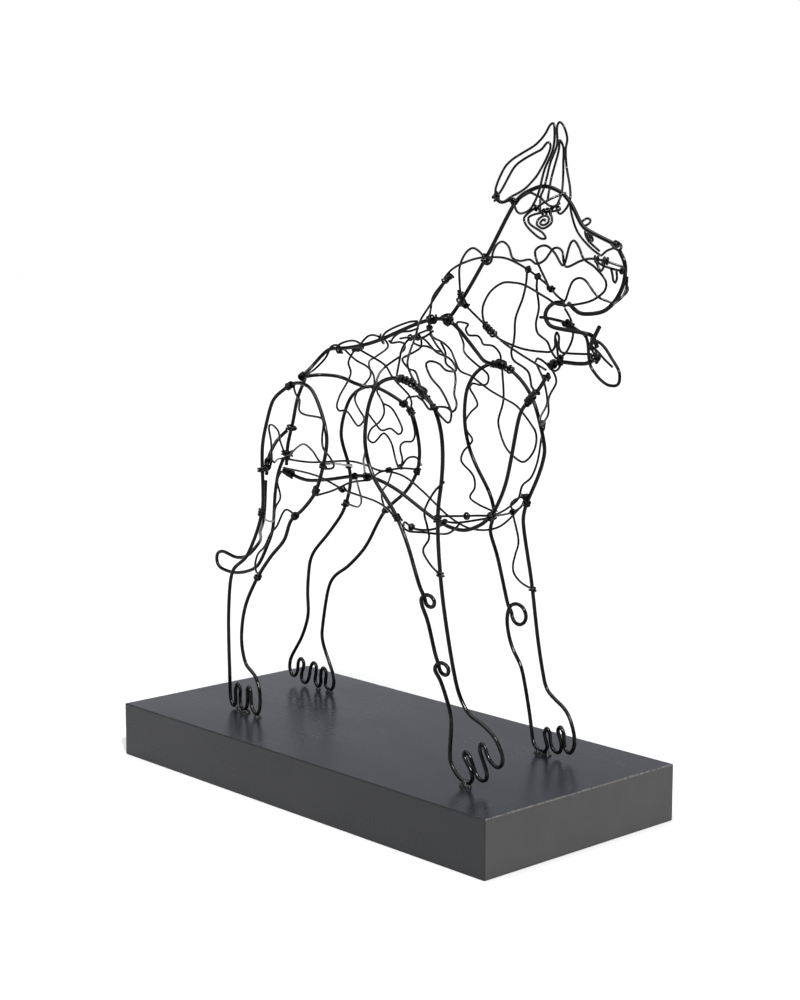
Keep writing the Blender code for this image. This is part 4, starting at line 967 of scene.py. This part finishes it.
def settled(wires):
    """Moves the wires apart, as little as they need, until no two run through each other."""
    points = np.vstack([wire.points for wire in wires])
    radius = np.concatenate([np.full(len(w.points), w.gauge / 2) for w in wires])
    ease = np.concatenate([np.full(len(w.points), 1 / w.firmness) for w in wires])
    a, b, c, d = near_pieces(wires, points, radius)
    need = radius[a] + radius[c] + CLEARANCE
    for _ in range(SETTLE_ROUNDS):
        s, t = nearest(points[a], points[b], points[c], points[d])
        s, t = s[:, None], t[:, None]
        here = points[a] * (1 - s) + points[b] * s
        there = points[c] * (1 - t) + points[d] * t
        away = there - here
        gap = np.linalg.norm(away, axis=1)
        push = gap < need
        if not push.any():
            break
        crossing = np.cross(points[b] - points[a], points[d] - points[c])
        outward = np.where(there[:, 1] < 0, -1.0, 1.0)
        crossing *= np.where(crossing[:, 1] * outward < 0, -1.0, 1.0)[:, None]
        size = np.linalg.norm(crossing, axis=1)
        size = np.maximum(size, 1e-12)[:, None]
        crossing = np.where(size > 1e-9, crossing / size, (0, 1, 0))
        way = np.where(gap[:, None] > NO_GAP, away / np.maximum(gap, 1e-9)[:, None], crossing)
        short = np.where(push, need * SETTLE_MARGIN - gap, 0.0)[:, None]
        total = ease[a] + ease[c]
        move_one = -way * short * (ease[a] / total)[:, None]
        move_two = way * short * (ease[c] / total)[:, None]
        moves = np.zeros_like(points)
        share_one = (1 - s) ** 2 + s**2
        share_two = (1 - t) ** 2 + t**2
        for at, move in (
            (a, move_one * (1 - s) / share_one),
            (b, move_one * s / share_one),
            (c, move_two * (1 - t) / share_two),
            (d, move_two * t / share_two),
        ):
            np.add.at(moves, at, move)
        points = points + moves * SETTLE_SHARE
        ground = PLINTH_HEIGHT + CLEARANCE + radius
        points[:, 2] = np.maximum(points[:, 2], ground)
    first = 0
    for wire in wires:
        wire.points = points[first : first + len(wire.points)]
        first += len(wire.points)
    return wires


print("wires are eased apart in at most", SETTLE_ROUNDS, "rounds")

# %% [markdown]
# ## Laying the wires out
# Now the routes are put on the plinth, smoothed, thinned and eased apart, all together. The last number
# of each group says how firmly it holds its place: a leg hardly gives way, and a thin wire gives most.


# %% Lay out every wire
class Wire:
    """One bent wire: its name, thickness, route in metres and how firmly it holds its place."""

    def __init__(self, name, gauge, route, closed, firmness):
        self.name = name
        self.gauge = gauge
        self.closed = closed
        self.firmness = firmness
        fit = FILL_FIT if gauge == FILL_WIRE else FRAME_FIT
        self.points = thinned(smoothed(np.array([placed(p) for p in route]), closed), fit, closed)


def placed(point):
    """A point of the drawing, in metres, on the plinth."""
    x, y, z = point
    return (x * SCALE, y * SCALE, PLINTH_HEIGHT + (z - DRAWN_GROUND) * SCALE)


LEG_FIRM, FRAME_FIRM, TONGUE_FIRM, FILL_FIRM = 12, 4, 2, 1
wires = [Wire(name, FRAME_WIRE, route, True, LEG_FIRM) for name, route in LOOPS.items()]
wires += [Wire(name, FRAME_WIRE, route, False, FRAME_FIRM) for name, route in FRAME.items()]
wires += [Wire(name, TONGUE_WIRE, route, False, TONGUE_FIRM) for name, route in TONGUE.items()]
for group in (HEAD, CHEST, BODY):
    wires += [Wire(name, FILL_WIRE, route, False, FILL_FIRM) for name, route in group.items()]
wires = settled(wires)
print(len(wires), "wires laid out,", sum(len(wire.points) for wire in wires), "points")

# %% [markdown]
# ## A line that can be walked along
# To wind one wire on another, the maker's hand goes round the first while it moves along it. For that a
# line has to say where it is, and which way it runs, at any distance from its start.

# %% Walk along a wire
EITHER_SIDE = 0.0008


class Line:
    """A wire's smooth centre line, measured along its length."""

    def __init__(self, name, gauge, points, closed):
        self.name = name
        self.gauge = gauge
        self.closed = closed
        self.curve = smoothed(points, closed)
        ring = np.vstack([self.curve, self.curve[0]]) if closed else self.curve
        self.ring = ring
        self.run = np.concatenate([[0], np.cumsum(np.linalg.norm(np.diff(ring, axis=0), axis=1))])
        self.length = self.run[-1]
        self.taken = []

    def at(self, distance):
        """The place on the line at this distance from its start."""
        distance = distance % self.length if self.closed else min(max(distance, 0), self.length)
        return np.array([np.interp(distance, self.run, self.ring[:, axis]) for axis in range(3)])

    def heading(self, distance):
        """The way the line runs at this distance, as a step of length one."""
        step = self.at(distance + EITHER_SIDE) - self.at(distance - EITHER_SIDE)
        return step / np.linalg.norm(step)


lines = {wire.name: Line(wire.name, wire.gauge, wire.points, wire.closed) for wire in wires}
for name, route in SMALL.items():
    drawn = np.array([placed(point) for point in route])
    lines[name] = Line(name, FILL_WIRE, drawn, False)
print("the dog holds", round(sum(line.length for line in lines.values()), 1), "m of wire")

# %% [markdown]
# ## Winding
# A thin wire ends in two or three tight turns round the wire that it meets. The turns start where the
# wire already passes the other one, go round it at the distance at which the two just touch, and climb by
# a little more than one thickness a turn, a little unevenly as a hand does it. Then the wire is cut, and a
# short tail stands off. A stretch that is already wound isn't wound again: the next winding starts beside
# it, or the end stays plain.

# %% Wind one wire round another
TURN_STEPS = 12
REACH = 0.0075
PITCH_SHARE = 1.12
ROOM_BESIDE = 0.006
SLIDE = 0.0005
CUT_TAIL = 0.0013
SNUG = 0.97
UNEVEN = 0.07
WAVES_A_TURN = 1.7
WAVE_OFFSET = 900
CLEARLY_NEARER = 0.0002
CLEARLY_ACROSS = 0.3
CLEARLY_LEANING = 0.25


def unit(vector):
    """The same direction with length one."""
    return vector / max(np.linalg.norm(vector), 1e-12)


def bare_start(carrier, start, length):
    """The nearest place where this much of the carrier is still bare, which is then marked as wound."""
    for shift in sorted(np.arange(-ROOM_BESIDE, ROOM_BESIDE, SLIDE), key=abs):
        low, high = sorted((start + shift, start + shift + length))
        inside = carrier.closed or (low > 0 and high < carrier.length)
        if inside and all(b < low or a > high for a, b in carrier.taken):
            carrier.taken.append((low, high))
            return start + shift
    return None


def turns_round(carrier, start, gauge, turns, out, sense, pitch, spread=1.0):
    """The points of a winding that starts at a distance along the carrier, on the side called out."""
    radius = (carrier.gauge + gauge) / 2 * SNUG * spread
    points = []
    for step in range(round(turns * TURN_STEPS) + 1):
        angle = 2 * math.pi * step / TURN_STEPS
        place = start + pitch * step / TURN_STEPS
        heading = carrier.heading(place)
        side = unit(out - (out @ heading) * heading)
        across = np.cross(heading, side) * sense
        loose = 1 + UNEVEN * math.sin(WAVES_A_TURN * angle + WAVE_OFFSET * start)
        outward = math.cos(angle) * side + math.sin(angle) * across
        points.append(carrier.at(place) + radius * loose * outward)
    leaving = unit(points[-1] - points[-2])
    points.append(points[-1] + CUT_TAIL * leaving)
    return points


def wound_end(line, points, turns, number):
    """The same points with the last one led on into a winding, if another wire is within reach."""
    tip, before = points[-1], points[-2]
    best = None
    for other in lines.values():
        if other is line:
            continue
        away = np.linalg.norm(other.curve - tip, axis=1) - other.gauge / 2
        index = int(np.argmin(away))
        if away[index] < REACH and (best is None or away[index] < best[0] - CLEARLY_NEARER):
            best = (away[index], other, index)
    if best is None:
        return points
    _, carrier, index = best
    start = carrier.run[index]
    heading = carrier.heading(start)
    coming = unit(tip - before)
    across = coming - (coming @ heading) * heading
    side = tip - carrier.at(start)
    side -= (side @ heading) * heading
    if np.linalg.norm(across) < CLEARLY_ACROSS:
        out, sense = unit(side), 1
    else:
        across = unit(across)
        out = np.cross(across, heading)
        sense = 1 if out @ side >= 0 else -1
        out = out * sense
    lean = coming @ heading
    if abs(lean) > CLEARLY_LEANING:
        along = 1 if lean > 0 else -1
    else:
        along = 1 if number % 2 else -1
    pitch = line.gauge * PITCH_SHARE * along
    start = bare_start(carrier, start, pitch * turns)
    if start is None:
        return points
    return points[:-1] + turns_round(carrier, start, line.gauge, turns, out, sense, pitch)


print("a winding of", TURN_STEPS, "points a turn")

# %% [markdown]
# ## How many turns each end has
# The thick wires only touch and are held by the thin ones. Of the thin ones some ends are wound two or
# three times, some once, and some only lie against their neighbour. Each wire below has the turns at its
# first and at its last point. The ends of all other wires are plain.

# %% Turns at the ends
TURNS = {
    "back_binding": (2.5, 0), "belly_cross": (2.5, 2.25), "belly_loop": (2, 1), "breast_stay": (0, 1),
    "breast_wire": (0, 2), "brisket_bar": (2.5, 1), "brisket_brace": (2, 1), "cheek_line": (1, 0),
    "cheek_stay": (1.25, 1), "elbow_link": (0, 2.25), "face_loop": (1.5, 0), "face_wave": (2.5, 1.25),
    "haunch_arch": (1.5, 1.25), "jaw_link": (0, 1), "jaw_stay": (1.25, 1), "left_belly_line": (1.5, 2),
    "left_brow": (0, 1.5), "left_ear": (1.25, 0), "left_forearm_wire": (1.25, 1.25),
    "left_shoulder_fringe": (2.5, 1.25), "left_thigh_leaf": (1, 2), "loin_hook": (1, 1.25),
    "loin_loop": (1, 1), "loin_stay": (1, 1.25), "right_belly_line": (1.5, 2.5), "right_ear": (2.25, 2),
    "right_forearm_wire": (0, 1.25), "right_hock_wire": (2.5, 2), "right_thigh_zigzag": (3, 1.5),
    "rump_loop": (1.5, 1.5), "shoulder_brace": (1, 1.25), "shoulder_link": (1, 1.25),
    "shoulder_stay": (1.5, 1.5), "shoulder_stitch": (0, 1), "shoulder_sweep": (2, 1),
    "shoulder_zigzag": (1, 1), "tail_stay": (1.5, 2.5),
    "thigh_stay": (2, 2), "throat_line": (2.5, 0), "left_thigh_hook": (1, 0), "ear_base_arc": (1, 0),
}


def dressed(line, number):
    """The line's points, with its ends wound on what they meet."""
    points = list(line.curve)
    turns = TURNS.get(line.name, (0, 0))
    if turns[1]:
        points = wound_end(line, points, turns[1], number)
    if turns[0]:
        points = wound_end(line, points[::-1], turns[0], number)[::-1]
    return points


print(sum(turns > 0 for pair in TURNS.values() for turns in pair), "ends to wind")

# %% [markdown]
# ## The wires as curves
# A curve object with a round bevel is the natural tool for wire: it stays a smooth tube, its ends are
# cut square as pliers leave them, and every point of its path is known. Each one takes the place of the
# plain solid of the same name.

# %% Draw every wire
ROUND_SIDES = 3


def wire_piece(name, paths, gauge, closed, finish):
    """One curve object of round wire along one or more paths."""
    data = bpy.data.curves.new(name, "CURVE")
    data.dimensions = "3D"
    data.bevel_depth = gauge / 2
    data.bevel_resolution = ROUND_SIDES
    data.use_fill_caps = not closed
    for path in paths:
        spline = data.splines.new("POLY")
        spline.points.add(len(path) - 1)
        for point, place in zip(spline.points, path):
            point.co = (*place, 1)
        spline.use_cyclic_u = closed
        spline.use_smooth = True
    data.materials.append(finish)
    piece = bpy.data.objects.new(name, data)
    bpy.context.scene.collection.objects.link(piece)
    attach(piece, "root")
    return piece


for number, line in enumerate(lines.values()):
    piece = wire_piece(line.name + "_wire", [dressed(line, number)], line.gauge, line.closed, lacquer)
    if line.name not in SMALL:
        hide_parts(line.name)
print(len(lines), "wires drawn")

# %% [markdown]
# ## Extra windings
# At the neck, the shoulders and the elbows, short lengths of thin wire are wound over a joint by
# themselves. Each is given by the wire it sits on, a point near its middle, and three numbers: its turns,
# how wide it is where it takes in a second wire beside the first, and its pitch in thicknesses of wire.

# %% Wind the joints
JOINTS = [
    ("rump", (-90, 0, 220), 1.25, 1.7, 1.0), ("rump", (-94, 0, 203), 2.0, 1.75, 1.2),
    ("right_hind_leg", (-78, -33, 197), 2.0, 1.45, 1.1), ("belly_and_chest", (-91, 0, 190), 2.5, 1.15, 1.5),
    ("right_belly_line", (-21, -16, 189), 1.5, 1.2, 1.1), ("brisket_sling", (73, -43, 179), 1.5, 1.1, 1.1),
    ("brisket_sling", (91, -35, 183), 1.5, 1.1, 1.1), ("brisket_brace", (96, -22, 186), 1.5, 1.2, 1.1),
    ("right_front_leg", (77, -45, 262), 7.0, 1.12, 2.4),
    ("right_front_leg", (84, -45, 258), 2.0, 1.25, 1.1),
    ("left_hind_leg", (-24, 40, 237), 2.0, 1.2, 1.2), ("neck", (88, 0, 333), 2.0, 1.2, 1.1),
    ("neck", (69, 0, 307), 1.5, 1.5, 1.1), ("throat_line", (103, -11, 293), 4.0, 1.25, 1.9),
    ("back", (62, -4, 296), 2.5, 1.4, 1.2), ("back", (47, -4, 296), 2.0, 1.3, 1.6),
    ("left_front_leg", (61, 41, 268), 3.5, 1.35, 1.2), ("left_front_leg", (68, 41, 265), 2.0, 1.15, 1.8),
    ("belly_and_chest", (126, 0, 253), 4.0, 1.05, 1.5),
    ("belly_and_chest", (137, 0, 268), 1.25, 1.05, 1.2), ("right_brow", (146, -11, 360), 3.0, 1.3, 1.6),
    ("face_wave", (185, -13, 335), 1.5, 1.2, 1.1), ("face_wave", (189, -10, 334), 1.5, 1.4, 1.2),
    ("tongue", (162, -10, 300), 2.5, 1.25, 1.4),
    ("chin", (144, -2, 276), 2.0, 1.15, 1.2), ("chin", (177, -4, 281), 1.5, 1.2, 1.2),
]
paths = []
for number, (carrier_name, near, turns, spread, pitch_share) in enumerate(JOINTS):
    carrier = lines[carrier_name]
    spot = np.array(placed(near))
    middle = carrier.run[int(np.argmin(np.linalg.norm(carrier.curve - spot, axis=1)))]
    pitch = FILL_WIRE * pitch_share
    out = unit(np.array([math.cos(number), math.sin(number), 0.4]))
    paths.append(turns_round(carrier, middle - pitch * turns / 2, FILL_WIRE, turns, out, 1, pitch, spread))
wire_piece("joint_windings", paths, FILL_WIRE, False, lacquer)
print(len(paths), "extra windings")

# %% [markdown]
# ## Solder drops
# The feet stand on a few toes only, and there a drop of solder or a short bar of it joins them to the
# plate on the block. A ball of small faces is stretched along the foot, flattened where it meets the
# plinth, and pushed in and out by a few slow waves, so that it looks as if it had slumped. Each drop is
# given by its place and by half its length, width and height, in millimetres.

# %% Solder the feet
BALL_DETAIL = 3
SUNK = -0.10
FLARE_BELOW = 0.45
FLARE = 0.28
DROPS = [
    (118.5, -44, 3.0, 2.4, 4.2), (121, -44, 2.0, 1.8, 2.4),
    (100, 37, 3.4, 2.2, 2.6), (105.5, 37.5, 3.6, 2.0, 2.2),
    (-104, -34.5, 3.6, 2.2, 2.6), (-97, -34.8, 3.8, 2.2, 2.4), (-81.5, -37, 2.2, 2.0, 1.8),
    (-99.5, 40, 2.8, 2.0, 2.4), (-111.5, 40, 2.0, 1.8, 1.6),
]


def solder_drop(mesh, centre, half_sizes, number):
    """Adds one slumped drop to the mesh, on the plinth's top."""
    made = bmesh.ops.create_icosphere(mesh, subdivisions=BALL_DETAIL, radius=1)
    for vertex in made["verts"]:
        turn = math.atan2(vertex.co.y, vertex.co.x)
        swell = 1 + 0.10 * math.sin(2 * turn + number) + 0.07 * math.sin(5 * turn + 2 * number)
        slump = 1 + 0.12 * math.sin(3 * turn + number)
        height = max(vertex.co.z, SUNK)
        foot = 1 + FLARE * max(0, FLARE_BELOW - height)
        vertex.co.x = (centre[0] + vertex.co.x * half_sizes[0] * swell * foot) * SCALE
        vertex.co.y = (centre[1] + vertex.co.y * half_sizes[1] * swell * foot) * SCALE
        vertex.co.z = PLINTH_HEIGHT + height * half_sizes[2] * SCALE * slump


drops = bmesh.new()
for number, (x, y, long, wide, high) in enumerate(DROPS):
    solder_drop(drops, (x, y), (long, wide, high), number)
for face in drops.faces:
    face.smooth = True
mesh = bpy.data.meshes.new("foot_solder")
drops.to_mesh(mesh)
drops.free()
mesh.materials.append(drop_finish)
solder = bpy.data.objects.new("foot_solder", mesh)
bpy.context.scene.collection.objects.link(solder)
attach(solder, "root")
print(len(DROPS), "drops,", len(mesh.polygons), "faces")

# %% [markdown]
# ## A white floor
# The photograph is a product shot on pure white, yet the wire is black with small glints. The floor is a
# light grey paper, lit until it shows white: so the lamps are strong beside it, and their glints on the
# wire are brighter than the floor's own reflection.

# %% Floor
FLOOR_SIDE = 14.0
PAPER_GREY = (0.365, 0.365, 0.365, 1)
PAPER_LIGHT = (0.38, 0.38, 0.38, 1)
PAPER_SPOTS = 30
PAPER_ROUGHNESS = 0.9
PAPER_SHINE = 0.1

floor_mesh = bpy.data.meshes.new("studio_floor")
half = FLOOR_SIDE / 2
floor_corners = [(-half, -half, 0), (half, -half, 0), (half, half, 0), (-half, half, 0)]
floor_mesh.from_pydata(floor_corners, [], [(0, 1, 2, 3)])
floor = bpy.data.objects.new("studio_floor", floor_mesh)
floor_finish, tree, shader = new_finish("studio_floor_paper")
paper_colour = between(tree, speckle(tree, PAPER_SPOTS, 2), PAPER_GREY, PAPER_LIGHT)
fill_socket(tree, shader.inputs["Base Color"], paper_colour)
shader.inputs["Roughness"].default_value = PAPER_ROUGHNESS
shader.inputs["Specular IOR Level"].default_value = PAPER_SHINE
floor_mesh.materials.append(floor_finish)
bpy.context.scene.collection.objects.link(floor)
floor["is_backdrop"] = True
print("floor", FLOOR_SIDE, "m wide")

# %% [markdown]
# ## A dim room behind a white backdrop
# What the camera sees behind the dog has to be white, and what the wire mirrors has to be dim, so the rays
# from the camera get one colour and all other rays another. The room is lighter low down, because the
# plinth's top is seen so flat that it mirrors the room just above the floor. This makes the top grey.

# %% The room
ROOM_LOW = (0.86, 0.88, 0.96, 1)
ROOM_HIGH = (0.12, 0.125, 0.14, 1)
BACKDROP_WHITE = (1.0, 1.0, 1.0, 1)
LOW_ENDS = 0.18
HIGH_STARTS = 0.37

world = bpy.data.worlds.new("white_studio")
world.use_nodes = True
tree = world.node_tree
tree.nodes.clear()
way = add_node(tree, "ShaderNodeTexCoord", output="Generated")
height = add_node(tree, "ShaderNodeSeparateXYZ", {}, {"Vector": way}, output="Z")
room_colour = between(tree, rise(tree, height, LOW_ENDS, HIGH_STARTS), ROOM_LOW, ROOM_HIGH)
room = add_node(tree, "ShaderNodeBackground", {}, {"Color": room_colour, "Strength": 1.0})
backdrop = add_node(tree, "ShaderNodeBackground", {}, {"Color": BACKDROP_WHITE, "Strength": 1.0})
seen = add_node(tree, "ShaderNodeLightPath", output="Is Camera Ray")
shown = add_node(tree, "ShaderNodeMixShader", {}, {0: seen, 1: room, 2: backdrop})
add_node(tree, "ShaderNodeOutputWorld", {}, {"Surface": shown}, output=None)
bpy.context.scene.world = world
print("room:", len(tree.nodes), "nodes")

# %% [markdown]
# ## Two suns
# A sun lamp lights everything from one side, as a far softbox does, and its width sets how soft it is. The
# key stands on the right of the camera and is narrow, so that it leaves a thin bright line along each wire.
# The other hangs almost overhead and is very wide, so that it throws no clear shadow. Each has its turn
# round the dog, its height over the horizon and its width in degrees, and its strength.

# %% Lamps
LAMP_DISTANCE = 3
LAMPS = [
    ("key", 62, 40, 8, 5.6),
    ("top", 20, 80, 70, 5.9),
]

for name, turn, lift, width, strength in LAMPS:
    data = bpy.data.lights.new(name, "SUN")
    data.angle = math.radians(width)
    data.energy = strength
    lamp = bpy.data.objects.new(name, data)
    turn, lift = math.radians(turn), math.radians(lift)
    sideways, forwards = math.sin(turn) * math.cos(lift), -math.cos(turn) * math.cos(lift)
    towards = Vector((sideways, forwards, math.sin(lift)))
    lamp.rotation_mode = "QUATERNION"
    lamp.rotation_quaternion = towards.to_track_quat("Z", "Y")
    lamp.location = towards * LAMP_DISTANCE
    bpy.context.scene.collection.objects.link(lamp)
bpy.context.scene.view_settings.view_transform = "Standard"
print(len(LAMPS), "lamps")

# %% [markdown]
# ## How much the box grows
# The dressed dog stays as large as the imported one, apart from what a winding adds. The growth of its
# box along each axis is printed.

# %% Finish
bpy.context.view_layer.update()
dressed_box = [list(corner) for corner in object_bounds()]
for axis in range(3):
    growth = [round((after[axis] - before[axis]) * 1000, 2) for before, after in zip(cad_box, dressed_box)]
    print("xyz"[axis], "moves by", growth, "mm at its low and its high end")
